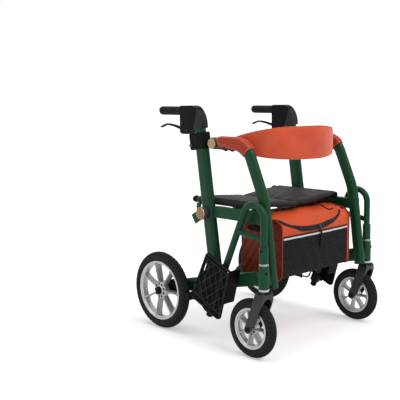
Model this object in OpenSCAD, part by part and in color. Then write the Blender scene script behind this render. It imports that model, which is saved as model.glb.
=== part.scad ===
// Rollator transport chair: a folding walking frame with a seat, a bag and swing-away footrests.
// Millimetres. +Z is up, the front faces -Y, and the user's right side is -X.
// Side shapes are drawn as (forward of the rear axle, height), and depth is measured outwards.

/* [Wheels] */
// Rear wheel diameter over the tyre
rear_d = 295; // [280:1:305]
// Rear tyre width
rear_tyre_w = 40; // [36:1:40]
// Rear rim diameter
rear_rim_d = 226; // [210:1:235]
// Front wheel diameter over the tyre
front_d = 205; // [195:1:212]
// Front tyre width
front_tyre_w = 38; // [32:1:38]
// Front rim diameter
front_rim_d = 142; // [130:1:150]
// Blades in each wheel
spokes = 7; // [5:1:9]
// Thickness of a wheel blade
spoke_t = 6; // [4:0.5:8]
// Diameter of the rear axle
rear_axle_d = 12; // [10:1:14]
// Diameter of the front axles
front_axle_d = 8; // [8:1:10]

/* [Side frame] */
// Distance between the centre planes of the two side frames
side_span = 512; // [480:2:540]
// Caster column forward of the rear axle
column_f = 535; // [520:1:550]
// Caster column outboard of the side frame
column_out = 44; // [43:0.5:48]
// Distance of the front axle behind its caster column
trail = 50; // [40:1:55]
// Lower arm tube, height
arm_a = 50; // [44:1:54]
// Lower arm tube, width
arm_b = 24; // [20:1:24]
// Front post and armrest tube, depth
post_a = 43; // [38:1:46]
// Front post and armrest tube, width
post_b = 30; // [26:1:30]
// Seat rail, height
rail_h = 39; // [34:1:42]
// Seat rail, width
rail_w = 25; // [22:1:26]
// Wall of the frame tubes
wall = 2.5; // [1.5:0.25:3]
// Height of the armrest tube centre
armrest_h = 720; // [700:1:735]
// Lean of the front post's upper run, degrees
post_lean = 23.5; // [20:0.5:26]
// Lean of the front post's lower run, degrees
post_foot_lean = 7.5; // [5:0.1:9]
// Bend radius of the armrest
post_bend_r = 75; // [60:1:90]
// Caster head tube diameter
head_d = 36; // [32:1:38]
// Caster head tube length
head_len = 78; // [70:1:84]
// Caster stem diameter
stem_d = 14; // [12:1:16]

/* [Upright and handle] */
// Upright tube, depth
upright_a = 55; // [52:1:60]
// Upright tube, width
upright_b = 34; // [32:1:36]
// Upright pivot forward of the rear axle
pivot_f = 267; // [260:1:275]
// Lean of the upright for walking, degrees
tilt_walk = 8.5; // [7:0.5:10]
// Extra lean of the upright for sitting, degrees
tilt_travel = 13.5; // [10:0.5:15]
// Upright pivot bolt diameter
pivot_d = 12; // [10:1:14]
// Upright length from its pivot
upright_len = 530; // [510:1:545]
// Distance from the upright's pivot to the tilt knob
knob_s = 256; // [246:1:262]
// Tilt knob diameter
knob_d = 42; // [36:1:46]
// Tilt knob bolt diameter
knob_bolt_d = 10; // [8:1:12]
// Handle tube, depth
handle_a = 46; // [44:1:48]
// Handle tube, width
handle_b = 27; // [24:1:28]
// Grip diameter
grip_d = 32; // [30:1:36]
// Grip length
grip_len = 123; // [105:1:128]
// Handle bar diameter inside the grip
bar_d = 22; // [20:1:25]

/* [Seat and fold] */
// Height of the seat tube centres
seat_h = 505; // [490:1:515]
// Seat tube diameter
seat_tube_d = 22; // [20:1:24]
// Distance between the two seat tubes
seat_span = 444; // [430:2:450]
// Seat tube start forward of the rear axle
seat_f0 = 120; // [112:1:126]
// Seat tube end forward of the rear axle
seat_f1 = 440; // [430:1:450]
// Cross brace bar, height
brace_h = 25; // [20:1:28]
// Cross brace bar, thickness
brace_t = 12; // [8:1:14]
// Middle of the cross brace forward of the upright's pivot
brace_ahead = 47; // [46:0.5:50]
// Cross brace pin diameter
brace_pin_d = 10; // [8:1:12]

/* [Backrest] */
// Backrest pivot forward of the rear axle
back_f = 264; // [260:1:268]
// Backrest pivot diameter
back_pin_d = 12; // [10:1:14]
// Backrest band thickness
band_t = 5; // [3:0.5:6]
// Backrest band height at the middle
band_h = 116; // [100:1:124]
// Backrest band height at the pivots
band_end_h = 30; // [24:1:32]
// Copper pivot cap diameter
cap_d = 38; // [34:1:42]
// Armrest leather thickness
leather_t = 3; // [2:0.25:3.5]

/* [Footrest] */
// Footrest tube diameter
hanger_d = 24; // [20:1:25]
// Radius of the footrest hoop
hoop_r = 47; // [42:1:50]
// Height of the hoop's centre
hoop_h = 478; // [465:1:490]
// Lean of the footrest leg, degrees
leg_lean = 23.8; // [22:0.2:25]
// Length of the footrest leg below the hoop
leg_len = 428; // [415:1:435]
// Footplate width
plate_w = 125; // [110:1:130]
// Footplate length
plate_len = 192; // [170:1:195]
// Footplate thickness with its ribs
plate_t = 12; // [10:1:14]

/* [Bag] */
// Bag width
bag_w = 390; // [350:2:400]
// Height of the bag's bottom
bag_z = 252; // [245:1:275]
// Bag front forward of the rear axle
bag_f1 = 522; // [500:1:530]

/* [Hidden] */
$fn = 64;

// Clearances between fixed neighbours and of running fits, and the overrun of cuts
seat_gap = 0.3;
run_gap = 0.05;
eps = 1;
// Bends stand proud of the straight runs by this, and lap them by this
bend_swell = 0.15;
bend_lap = 0.8;

// Places that follow from the sizes above
side_lat = side_span / 2;
column_lat = side_lat + column_out;
arm_out = side_lat + arm_b / 2;
wheel_lat = arm_out + 3 + rear_tyre_w / 2;
axle_z = rear_d / 2;
front_f = column_f - trail;
front_z = front_d / 2;
brace_f = pivot_f + brace_ahead;
axle_y = (front_f + front_z - axle_z) / 2;

// Caster stack, from the tyre upwards
crown_gap = 11;
crown_h = 21;
ring_h = 9.7;
crown_z = front_d + crown_gap;
ring_z = crown_z + crown_h;
head_z = ring_z + ring_h + seat_gap;
head_top = head_z + head_len;
post_foot_z = head_z - 6;

// Lower arm: a straight line from the rear axle to the caster head
arm_rise = 7;
arm_head_rise = 32;
arm_p0 = [0, axle_z + arm_rise];
arm_p1 = [column_f, head_z + arm_head_rise];
arm_slope = heading(arm_p0, arm_p1);
pivot_z = arm_z(pivot_f);

// Front post: armrest, leaning run, lower run
post_mid_f = column_f - 14.6;
post_mid_z = head_z + 105;
post_corner_f = column_f - 119;
post_knee_z = (post_mid_f + post_mid_z * tan(post_foot_lean) - post_corner_f
  - armrest_h * tan(post_lean)) / (tan(post_foot_lean) - tan(post_lean));
post_knee_f = post_corner_f + (armrest_h - post_knee_z) * tan(post_lean);
post_foot_f = post_mid_f + (post_mid_z - post_foot_z) * tan(post_foot_lean);
armrest_f0 = back_f - 12;
knee_r = 250;
post_path = [
  [armrest_f0, armrest_h], [post_corner_f, armrest_h],
  [post_knee_f, post_knee_z], [post_foot_f, post_foot_z]
];
post_radii = [0, post_bend_r, knee_r, 0];
bore_path = [
  post_path[0] - [eps, 0], post_path[1],
  post_path[2], post_path[3] + eps * [tan(post_foot_lean), -1]
];

// Seat rail with the arc plate that the tilt knob clamps to
rail_top = seat_h - seat_tube_d / 2;
rail_z = rail_top - rail_h / 2;
rail_f0 = pivot_f - 4;
rail_out = side_lat + rail_w / 2;
rail_in = side_lat - rail_w / 2;
sector_t = 5;
sector_w = 38;
sector_in = side_lat - upright_b / 2 - 0.4 - sector_t;
sector_front_deg = -8;
sector_rear_deg = tilt_walk + tilt_travel + 12;
// the spacer between rail and arc plate reaches both, whatever the seat height
spacer_z0 = min(rail_z - rail_h / 2 + 3, pivot_z + knob_s - sector_w / 2 + 6);
spacer_z1 = max(rail_z + rail_h / 2 - 6, pivot_z + knob_s + sector_w / 2 - 6);
slot_w = knob_bolt_d + 0.6;
seat_lat = seat_span / 2;
saddle_z = seat_h - seat_tube_d / 2 - seat_gap;
saddle_h = 14;
saddle_len = 20;
saddle_fs = [brace_f + 44, seat_f1 - 26];
guide_f = seat_f0 + 22;

// Cross brace: two crossing bars, pivoted on the lower arms and carrying the seat tubes
fold_z = arm_z(brace_f) + 2;
brace_rise = seat_h - fold_z;
brace_deg = atan2(brace_rise, seat_span);
brace_len = norm([seat_span, brace_rise]);
brace_gap = 2;
eye_d = brace_pin_d + 14;
eye_len = 2 * brace_t + brace_gap + 0.4;
ear_t = 4;
ear_r = 13;

// Upright and what it carries, as distances along it from its pivot
foot_gap = arm_a / 2 + 9;
cheek_t = 4.6;
cheek_r = 26;
tube_fit = 0.25;
upright_in_a = handle_a + 2 * tube_fit;
upright_in_b = handle_b + 2 * tube_fit;
clamp_s0 = upright_len - 45;
clamp_s1 = upright_len + 16;
clamp_b = upright_b + 8;
clamp_front = upright_a / 2 + 5;
clamp_rear = upright_a / 2 + 19;
button_d = 14;
button_len = 11;
button_travel = 3;
button_x = -clamp_rear + 11;
button_s = clamp_s0 + 17;
handle_s0 = upright_len - 230;
handle_s1 = upright_len + 60;
head_s = upright_len + 36;
head_f = pivot_f - head_s * sin(tilt_walk);
head_h = pivot_z + head_s * cos(tilt_walk);
head_w = 36;
head_rear = 93;
bar_rise = 57;
lever_f = -80;
lever_z = -5;
lever_t = 10;
lever_pin_d = 6;

// Brake at the front of the rear tyre
brake_f = axle_z + 24;
brake_z = arm_z(brake_f) - 4;
brake_pin_d = 8;
shoe_gap = 2;
shoe_h = 26;
cable_lat = side_lat + 6;
cable_d = 6;
cable_z = axle_z - 5;

cable_path = [
  [brake_f + 6.5, cable_z], [brake_f + 106, cable_z],
  [brake_f + 128, arm_z(brake_f + 128) - arm_a / 2 / cos(arm_slope) - seat_gap - 1]
];

// Lower arm details, as distances along it: its flare to the caster head, hollow stretches and vents
flare_s0 = 432;
flare_s1 = 556;
arm_hollows = [[40, brake_f - 22], [brake_f + 26, pivot_f - 22], [brace_f + 40, flare_s0 - 10]];
vent_d = 6;
boss_half = arm_b / 2 + 0.8;

// Wheel hubs and caster fork
rear_hub_half = 15;
fork_in = front_tyre_w / 2 + 3;
fork_t = 6;
front_hub_half = fork_in - seat_gap;

// Backrest
arm_in = side_lat - post_b / 2;
bracket_t = 12;
bracket_out = arm_in - 0.4;
bracket_bar_out = side_lat - clamp_b / 2 - 0.6;
band_out = bracket_out - bracket_t - seat_gap;
band_r = band_out - band_t;
band_arm = 40;
band_front = back_f + band_arm + band_out;
cap_t = 6;
pad_f0 = back_f + cap_d / 2 + 1;
pad_end_s = post_bend_r * tan((90 - post_lean) / 2) - 24;
pad_end_f = post_corner_f + pad_end_s * sin(post_lean);
pad_end_z = armrest_h - pad_end_s * cos(post_lean);

// Footrest
hoop_turn = 180 - leg_lean;
hoop_trim = hoop_r * tan(hoop_turn / 2);
hoop_corner = [column_f, hoop_h + hoop_trim];
leg_end = hoop_corner - (hoop_trim + leg_len) * [sin(leg_lean), cos(leg_lean)];
collar_h = 7;
sleeve_d = hanger_d + 7;
sleeve_z = head_top + collar_h + seat_gap;
sleeve_top = sleeve_z + 58;
hanger_post_d = hanger_d - 4;
hanger_path = [[column_f, sleeve_top - eps], hoop_corner, leg_end];
hanger_radii = [0, hoop_r, 0];
cross_d = 20;
cross_p0 = leg_point(352);
cross_p1 = [column_f, head_top + 84];
snap_d = 8;
snap_z = sleeve_top - 15;
snap_len = 7.5;
snap_travel = 4;
clamp_leg_y0 = 20;
clamp_leg_y1 = 58;
clamp_leg_w = hanger_d + 10;
hinge_y = 28;
hinge_d = 8;
hinge_out = hanger_d / 2 + 10;
lug_w = 20;
ear_hinge_r = hinge_out - clamp_leg_w / 2 + 1;
plate_p0 = 45 - plate_w;
plate_p1 = 45;
plate_y0 = 30;
plate_top = plate_y0 + plate_len;
plate_flare = 0.22 * plate_w;
plate_cut = 9;
plate_out = hinge_out - 1;
skin_t = 4;
rib_t = 3;
rib_step = 30;
heel_t = 4;
heel_y0 = plate_y0 + 64;
heel_y1 = plate_top - 10;
heel_reach = column_lat - arm_out - 4;

// Bag outline, clear of the cross brace
bag_f0 = brace_f + brace_gap / 2 + brace_t + 10;
bag_lid_f = 425;
bag_top = seat_h - 33;
bag_front_top = bag_top - 42;
bag_corner = 12;
tab_h = 3;
tab_len = 26;

// Seat cushion form
cushion_f0 = seat_f0 + 20;
cushion_f1 = seat_f1;
cushion_edge = seat_lat + 14;
cushion_half_t = 20;
cushion_drop = 10;
cushion_crown = 4;
cushion_pinch = 5;
cushion_pow = 4;
cushion_rings = 16;
cushion_sides = 36;

// Angle of the line from p to q, in degrees
function heading(p, q) = atan2(q[1] - p[1], q[0] - p[0]);
// Height of the lower arm's centre line at a forward distance
function arm_z(f) = arm_p0[1] + (arm_p1[1] - arm_p0[1]) * f / arm_p1[0];
// Point on the footrest leg at a distance up from its end
function leg_point(s) = leg_end + s * [sin(leg_lean), cos(leg_lean)];
// Turn of a path at its corner i, kept between -180 and 180
function wrap_deg(a) = a > 180 ? a - 360 : a < -180 ? a + 360 : a;
function is_corner(path, i) = i > 0 && i < len(path) - 1;
function turn_at(path, i) =
  is_corner(path, i) ? wrap_deg(heading(path[i], path[i + 1]) - heading(path[i - 1], path[i])) : 0;
function trim_at(path, radii, i) = radii[i] * tan(abs(turn_at(path, i)) / 2);

// Right side as drawn for s = -1, left side mirrored for s = 1
module hand(s) mirror([s > 0 ? 1 : 0, 0, 0]) children();
// Drawing plane of a side, a given distance from the middle: x forward, y up, z outwards
module side(lat) translate([-lat, axle_y, 0]) rotate([90, 0, -90]) children();
// Frame along the upright: x forward, y up the tube, z outwards
module upright_frame() side(side_lat) translate([pivot_f, pivot_z]) rotate(tilt_walk) children();
// Frame along the lower arm: x forward along the tube, y up, z outwards
module arm_frame() side(side_lat) translate(arm_p0) rotate(arm_slope) children();
// Frame along the footrest leg: x forward, y up the tube, z outwards
module leg_frame() side(column_lat) translate(leg_end) rotate(-leg_lean) children();
// Frame on the caster column, z up
module column_frame() translate([-column_lat, axle_y - column_f, 0]) children();
// Cylinder along the drawing plane's depth, from z0 to z1
module rod(d, z0, z1) translate([0, 0, z0]) cylinder(d = d, h = z1 - z0);
// Extrusion along the y axis of a section drawn across it
module along_y(y0, y1) translate([0, y0, 0]) rotate([-90, 0, 0]) linear_extrude(y1 - y0) children();
// Extrusion along the x axis of a section drawn across it
module along_x(x0, x1) translate([x0, 0, 0]) rotate([90, 0, 90]) linear_extrude(x1 - x0) children();
// Extrusion in depth of an outline in the drawing plane
module slab(z0, z1) translate([0, 0, z0]) linear_extrude(z1 - z0) children();
// Oval section with its long side along x
module oval(a, b) {
  if (a > b) square([a - b, b], center = true);
  for (e = a > b ? [-1, 1] : [0]) translate([e * (a - b) / 2, 0]) circle(d = b);
}
// Rectangle from x0 to x1 and y0 to y1, with round corners
module round_rect(x0, x1, y0, y1, r) {
  translate([x0 + r, y0]) square([x1 - x0 - 2 * r, y1 - y0]);
  translate([x0, y0 + r]) square([x1 - x0, y1 - y0 - 2 * r]);
  for (x = [x0 + r, x1 - r], y = [y0 + r, y1 - r]) translate([x, y]) circle(r = r);
}
// Straight run of a section from p to q in the drawing plane
module run(p, q, cut0 = 0, cut1 = 0)
  translate(p) rotate(heading(p, q)) translate([cut0, 0, 0]) rotate([90, 0, 90])
    linear_extrude(norm(q - p) - cut0 - cut1) children();
// Oval bar along a path of straight runs with round bends, which swell a little and lap the runs
module bent(path, radii, a, b) {
  for (i = [0 : len(path) - 2])
    run(path[i], path[i + 1], trim_at(path, radii, i), trim_at(path, radii, i + 1)) oval(a, b);
  for (i = [1 : len(path) - 2]) {
    way = sign(turn_at(path, i));
    lap = way * bend_lap / radii[i] * 180 / PI;
    translate(path[i]) rotate(heading(path[i - 1], path[i]))
      translate([-trim_at(path, radii, i), way * radii[i], 0]) rotate(-90 * way - lap)
        rotate_extrude(angle = turn_at(path, i) + 2 * lap)
          translate([radii[i], 0]) oval(a + 2 * bend_swell, b + 2 * bend_swell);
  }
}

// Outer skin of the front post, grown by a clearance
module post_solid(grow) side(side_lat) bent(post_path, post_radii, post_a + 2 * grow, post_b + 2 * grow);
// The post's lower run alone, run on upwards, as the shape that the welded tubes are coped to
module post_cope() side(side_lat)
  run(post_path[3] - [0, eps], post_path[3] + [-300 * tan(post_foot_lean), 300])
    oval(post_a + 2 * seat_gap, post_b + 2 * seat_gap);

module armrest_tube(s) color("darkgreen") hand(s) difference() {
  post_solid(0);
  side(side_lat) bent(bore_path, post_radii, post_a - 2 * wall, post_b - 2 * wall);
  side(side_lat) translate([back_f, armrest_h]) rod(back_pin_d + 2 * run_gap, -post_b, post_b);
}

// Arc band about the upright's pivot, between two leans from the vertical
module arc_band(r0, r1, lean0, lean1, z0, z1)
  translate([pivot_f, pivot_z, z0]) rotate(90 + lean0)
    rotate_extrude(angle = lean1 - lean0) translate([r0, 0]) square([r1 - r0, z1 - z0]);
// Round hole on the same arc
module arc_hole(lean, d, z0, z1)
  translate([pivot_f - knob_s * sin(lean), pivot_z + knob_s * cos(lean)]) rod(d, z0, z1);

module rail_body() {
  side(0) slab(rail_in, rail_out)
    round_rect(rail_f0, post_mid_f, rail_z - rail_h / 2, rail_z + rail_h / 2, 4);
  // arc plate behind the upright, and the spacer that joins it to the rail
  side(0) arc_band(knob_s - sector_w / 2, knob_s + sector_w / 2, sector_front_deg, sector_rear_deg,
    sector_in, sector_in + sector_t);
  side(0) slab(sector_in, rail_in + eps)
    round_rect(rail_f0 + 2, rail_f0 + 38, spacer_z0, spacer_z1, 3);
  // saddles under the seat tube
  for (f = saddle_fs)
    side(0) slab(seat_lat - seat_tube_d / 2, rail_in + eps)
      round_rect(f, f + saddle_len, saddle_z - saddle_h, saddle_z, 2);
  // rear seat guide on the arc plate
  side(0) slab(sector_in, sector_in + sector_t)
    round_rect(guide_f, guide_f + saddle_len, pivot_z + knob_s * cos(sector_rear_deg), saddle_z, 2);
  side(0) slab(seat_lat - seat_tube_d / 2, sector_in + sector_t)
    round_rect(guide_f, guide_f + saddle_len, saddle_z - 5, saddle_z, 2);
}

module seat_rail(s) color("darkgreen") hand(s) difference() {
  rail_body();
  post_cope();
  // hollow of the rail, open at its rear end
  side(0) slab(rail_in + wall, rail_out - wall)
    translate([rail_f0 - eps, rail_z - rail_h / 2 + wall])
      square([post_mid_f - post_a - 20 - rail_f0, rail_h - 2 * wall]);
  // slot of the tilt knob, and a spare hole behind it
  side(0) arc_band(knob_s - slot_w / 2, knob_s + slot_w / 2, tilt_walk, tilt_walk + tilt_travel,
    sector_in - eps, sector_in + sector_t + eps);
  for (lean = [tilt_walk, tilt_walk + tilt_travel])
    side(0) arc_hole(lean, slot_w, sector_in - eps, sector_in + sector_t + eps);
  side(0) arc_hole(sector_rear_deg - 4, 6, sector_in - eps, sector_in + sector_t + eps);
}

// Plan outline of the flare from the lower arm to the caster head: along the arm, outwards
module flare_plan() polygon([
  [flare_s0, arm_b / 2 - 6], [flare_s0, arm_b / 2 - 1], [flare_s0 + 40, arm_b / 2 + 4],
  [flare_s0 + 75, arm_b / 2 + 18], [flare_s0 + 96, column_out + 6], [flare_s1, column_out + 4],
  [flare_s1, post_b / 2 + seat_gap], [flare_s0 + 66, post_b / 2 + seat_gap],
  [flare_s0 + 60, arm_b / 2 - 6]
]);

module arm_shell() {
  arm_frame() along_x(0, norm(arm_p1 - arm_p0)) oval(arm_a, arm_b);
  // boss for the rear axle
  side(side_lat) translate([0, axle_z]) rod(arm_a - 4, -boss_half, boss_half);
  arm_frame() translate([0, arm_a / 2 - 2, 0]) rotate([90, 0, 0]) linear_extrude(arm_a - 4) flare_plan();
  column_frame() translate([0, 0, head_z]) cylinder(d = head_d, h = head_len);
  // chrome collar and post that carry the footrest
  column_frame() translate([0, 0, head_top - eps]) cylinder(d = sleeve_d, h = collar_h + eps);
  column_frame() translate([0, 0, head_top]) cylinder(d = hanger_post_d, h = sleeve_top - head_top - 3);
  // ears of the cross brace pivot
  for (e = [-1, 1])
    translate([-side_lat + arm_b / 2 - eps, axle_y - brace_f + e * (eye_len / 2 + ear_t / 2 + 0.2), fold_z])
      rotate([90, 0, 0]) linear_extrude(ear_t, center = true) {
        translate([0, -ear_r]) square([side_lat - arm_b / 2 + eps - seat_lat, 2 * ear_r]);
        translate([side_lat - arm_b / 2 + eps - seat_lat, 0]) circle(r = ear_r);
      }
  // cable stop under the arm
  side(0) slab(cable_lat - 5, cable_lat + 5)
    translate([brake_f + 66, cable_z - 8]) square([4, arm_z(brake_f + 68) - cable_z]);
}

// Cylinder along the cross brace's lower pivot
module brace_rod(d, h) translate([-seat_lat, axle_y - brace_f, fold_z]) rotate([90, 0, 0])
  cylinder(d = d, h = h, center = true);

module lower_arm(s) color("darkgreen") hand(s) difference() {
  arm_shell();
  post_cope();
  // hollow stretches between the axle, the pivots and the flare, each with a vent hole inside
  for (h = arm_hollows) arm_frame() {
    along_x(h[0], h[1]) oval(arm_a - 2 * wall, arm_b - 2 * wall);
    translate([(h[0] + h[1]) / 2, 0, 0]) rod(vent_d, -arm_b, 0);
  }
  side(side_lat) translate([0, axle_z]) rod(rear_axle_d + 2 * run_gap, -arm_b, arm_b);
  side(side_lat) translate([pivot_f, pivot_z]) rod(pivot_d + 2 * run_gap, -arm_b, arm_b);
  column_frame() translate([0, 0, head_z - eps]) cylinder(d = stem_d + 2 * run_gap, h = head_len - 6);
  // groove that the footrest's release button drops into
  column_frame() translate([0, 0, snap_z - snap_d / 2 - 1]) difference() {
    cylinder(d = hanger_post_d + 2, h = snap_d + 2);
    translate([0, 0, -eps]) cylinder(d = hanger_post_d - 2 * snap_travel - 3, h = snap_d + 2 + 2 * eps);
  }
  brace_rod(brace_pin_d + 2 * run_gap, 2 * eye_len);
  side(0) translate([brake_f, brake_z]) rod(brake_pin_d + 2 * run_gap, arm_out - 14, arm_out + eps);
  // hole of the cable stop
  side(cable_lat) translate([brake_f + 60, cable_z]) rotate([0, 90, 0]) cylinder(d = cable_d + 0.5, h = 20);
}
module armrest_pad(s) color("sienna") hand(s) difference() {
  post_solid(leather_t);
  post_solid(seat_gap);
  // only the stretch over the armrest stays
  side(0) slab(0, 2 * side_lat) translate([0, armrest_h - 200]) square([pad_f0, 400]);
  side(0) translate([pad_end_f, pad_end_z]) rotate(-90 + post_lean)
    slab(0, 2 * side_lat) translate([0, -300]) square([600, 600]);
}

// Rear wheel parts lie about this axis, z outwards
module rear_hub_frame() translate([-wheel_lat, axle_y, axle_z]) rotate([0, -90, 0]) children();
module rear_axle(s) color("silver") hand(s) rear_hub_frame() {
  rod(rear_axle_d, side_lat - arm_b / 2 - wheel_lat + eps, rear_hub_half + 8);
  // spacer against the arm, and the cap nut outside
  rod(rear_axle_d + 10, side_lat + boss_half - wheel_lat + seat_gap, -rear_hub_half - seat_gap);
  rod(rear_axle_d + 12, rear_hub_half + seat_gap, rear_hub_half + 9);
}

module pivot_bolt(s) color("dimgray") hand(s) side(side_lat) translate([pivot_f, pivot_z]) {
  rod(pivot_d, -upright_b / 2 - 4, upright_b / 2 + 4);
  rod(pivot_d + 9, upright_b / 2 + seat_gap, upright_b / 2 + 6);
  rod(pivot_d + 8, -upright_b / 2 - 5, -upright_b / 2 - seat_gap);
}

// Brake arm: pivoted on the lower arm, with a shoe in front of the tyre
module brake_arm(s) color("black") hand(s) {
  lug_z = cable_z - brake_z;
  side(0) translate([brake_f, brake_z]) {
    rod(brake_pin_d, arm_out - 13, arm_out + 10);
    slab(arm_out + seat_gap, arm_out + 9) {
      circle(r = 10);
      translate([-8, lug_z - 7]) square([14, -lug_z + 7]);
    }
    slab(cable_lat - 6, arm_out + 9) translate([-8, lug_z - 7]) square([14, 14]);
  }
  shoe_f = axle_z + shoe_gap;
  side(0) slab(arm_out + 4, wheel_lat + rear_tyre_w / 2 - 4)
    translate([shoe_f, cable_z - 4]) square([brake_f - shoe_f - 4, shoe_h]);
}

// Brake cable: from the brake arm, through its stop, and up into the lower arm
module brake_cable(s) color("black") hand(s) side(cable_lat) {
  bent(cable_path, [0, 22, 0], cable_d, cable_d);
  // adjuster barrel against the stop
  translate([brake_f + 36, cable_z]) rotate([0, 90, 0]) cylinder(d = cable_d + 6, h = 28);
}

module upright(s) color("darkgreen") hand(s) upright_frame() difference() {
  union() {
    along_y(foot_gap, upright_len) oval(upright_a, upright_b);
    for (z = [-upright_b / 2, upright_b / 2 - cheek_t]) slab(z, z + cheek_t) {
      circle(r = cheek_r);
      translate([-cheek_r, 0]) square([2 * cheek_r, foot_gap + 20]);
    }
  }
  along_y(foot_gap + 6, upright_len + eps) oval(upright_in_a, upright_in_b);
  rod(pivot_d + 2 * run_gap, -upright_b, upright_b);
  translate([0, knob_s]) rod(knob_bolt_d + 2 * run_gap, -upright_b, upright_b);
}

module height_clamp(s) color("black") hand(s) upright_frame() difference() {
  along_y(clamp_s0, clamp_s1) round_rect(-clamp_rear, clamp_front, -clamp_b / 2, clamp_b / 2, 12);
  along_y(clamp_s0 - eps, upright_len + seat_gap) oval(upright_a + 2 * seat_gap, upright_b + 2 * seat_gap);
  along_y(upright_len, clamp_s1 + eps) oval(handle_a + 2 * seat_gap, handle_b + 2 * seat_gap);
  translate([button_x, button_s]) rod(button_d + 2 * run_gap, clamp_b / 2 - button_len, clamp_b / 2 + eps);
}

module height_button(s) color("dimgray") hand(s) upright_frame() translate([button_x, button_s])
  rod(button_d, clamp_b / 2 - button_len + button_travel + 0.5, clamp_b / 2 + button_travel + 0.5);

module tilt_knob(s) color("peru") hand(s) upright_frame() translate([0, knob_s]) {
  knob_z = upright_b / 2 + seat_gap;
  nut_z = -upright_b / 2 - 0.4 - sector_t - seat_gap;
  rod(knob_bolt_d, -upright_b / 2 - sector_t - 3, knob_z + 4);
  rod(knob_d, knob_z, knob_z + 14);
  rod(knob_d - 4, knob_z + 13, knob_z + 20);
  rod(knob_d, knob_z + 19, knob_z + 24);
  // nut behind the arc plate
  rod(knob_bolt_d + 8, nut_z - 5, nut_z);
}

module handle_tube(s) color("darkgreen") hand(s) upright_frame() difference() {
  along_y(handle_s0, handle_s1) oval(handle_a, handle_b);
  along_y(handle_s0 - eps, handle_s1 - 8) oval(handle_a - 2 * wall, handle_b - 2 * wall);
}

// Side outline of the handle head: round front cover, flat top, brake housing at the rear
function head_curve(n) = [for (i = [0 : n]) [-33 + 58 * cos(90 * i / n), 77 * sin(90 * i / n)]];
module head_outline() polygon(concat(head_curve(16),
  [[8 - head_rear, 77], [-head_rear, 69], [-head_rear, -20], [8 - head_rear, -28], [-54, -28], [-44, 0]]));
module handle_head(s) color("black") hand(s) difference() {
  union() {
    side(side_lat) translate([head_f, head_h]) slab(-head_w / 2, head_w / 2) head_outline();
    side(side_lat) translate([head_f - head_rear - grip_len + 5, head_h + bar_rise]) rotate([0, 90, 0])
      cylinder(d = bar_d, h = grip_len + 10);
  }
  upright_frame() along_y(handle_s0, handle_s1 + seat_gap)
    oval(handle_a + 2 * seat_gap, handle_b + 2 * seat_gap);
  // slot and pivot of the brake lever
  side(side_lat) translate([head_f, head_h]) difference() {
    slab(-lever_t / 2 - 0.5, lever_t / 2 + 0.5) translate([-120, -24]) square([50, 62]);
    translate([lever_f, lever_z]) rod(lever_pin_d, -lever_t, lever_t);
  }
}

// Grip: a rubber sleeve with a round end
module grip(s) color("black") hand(s) side(side_lat)
  translate([head_f - head_rear - seat_gap, head_h + bar_rise]) rotate([0, -90, 0]) difference() {
    union() {
      cylinder(d = grip_d, h = grip_len - 10);
      translate([0, 0, grip_len - 10]) rotate_extrude() {
        square([grip_d / 2 - 10, 10]);
        intersection() {
          translate([grip_d / 2 - 10, 0]) circle(r = 10);
          square([grip_d, 10]);
        }
      }
    }
    translate([0, 0, -eps]) cylinder(d = bar_d + 0.4, h = grip_len - 4);
  }

// Brake lever: a bowed finger lever on its pivot in the head
module brake_lever(s) color("black") hand(s) side(side_lat) translate([head_f, head_h]) difference() {
  slab(-lever_t / 2, lever_t / 2) {
    translate([lever_f, lever_z]) circle(r = 8);
    polygon([
      [lever_f, 2], [-110, -1], [-140, 6], [-176, 9], [-196, 4], [-215, -3],
      [-216, -8], [-196, -3], [-176, 2], [-140, -2], [-108, -11], [lever_f, -12]
    ]);
  }
  translate([lever_f, lever_z]) rod(lever_pin_d + 2 * run_gap, -lever_t, lever_t);
}

// Tyre section: straight sidewalls on the rim and a round crown, about the z axis
module tyre(d, rim_d, w) rotate_extrude($fn = 128) {
  translate([rim_d / 2 + 0.1, -w / 2 + 3]) square([(d - rim_d) / 2 - w / 2 - 0.1, w - 6]);
  translate([d / 2 - w / 2, 0]) intersection() {
    circle(d = w);
    translate([max(-w / 3, (rim_d - d + w) / 2 + 0.1), -w]) square([w, 2 * w]);
  }
}
// Rim with blade spokes and a hub, about the z axis
module rim(d, w, hub_d, hub_half, bore) difference() {
  union() {
    rotate_extrude($fn = 128) translate([d / 2 - 14, -w / 2]) square([14, w]);
    for (i = [0 : spokes - 1]) rotate(360 * (i + 0.5) / spokes)
      translate([hub_d / 2 - 2, -spoke_t / 2, -w * 0.3]) cube([d / 2 - 14 - hub_d / 2 + 3, spoke_t, w * 0.6]);
    rod(hub_d, -hub_half, hub_half);
    rod(hub_d + 24, -w * 0.2, w * 0.2);
  }
  rod(bore, -hub_half - eps, hub_half + eps);
}

module rear_tyre(s) color("dimgray") hand(s) rear_hub_frame() tyre(rear_d, rear_rim_d, rear_tyre_w);
module rear_rim(s) color("silver") hand(s) rear_hub_frame()
  rim(rear_rim_d, rear_tyre_w - 10, 40, rear_hub_half, rear_axle_d + 2 * run_gap);

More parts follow.
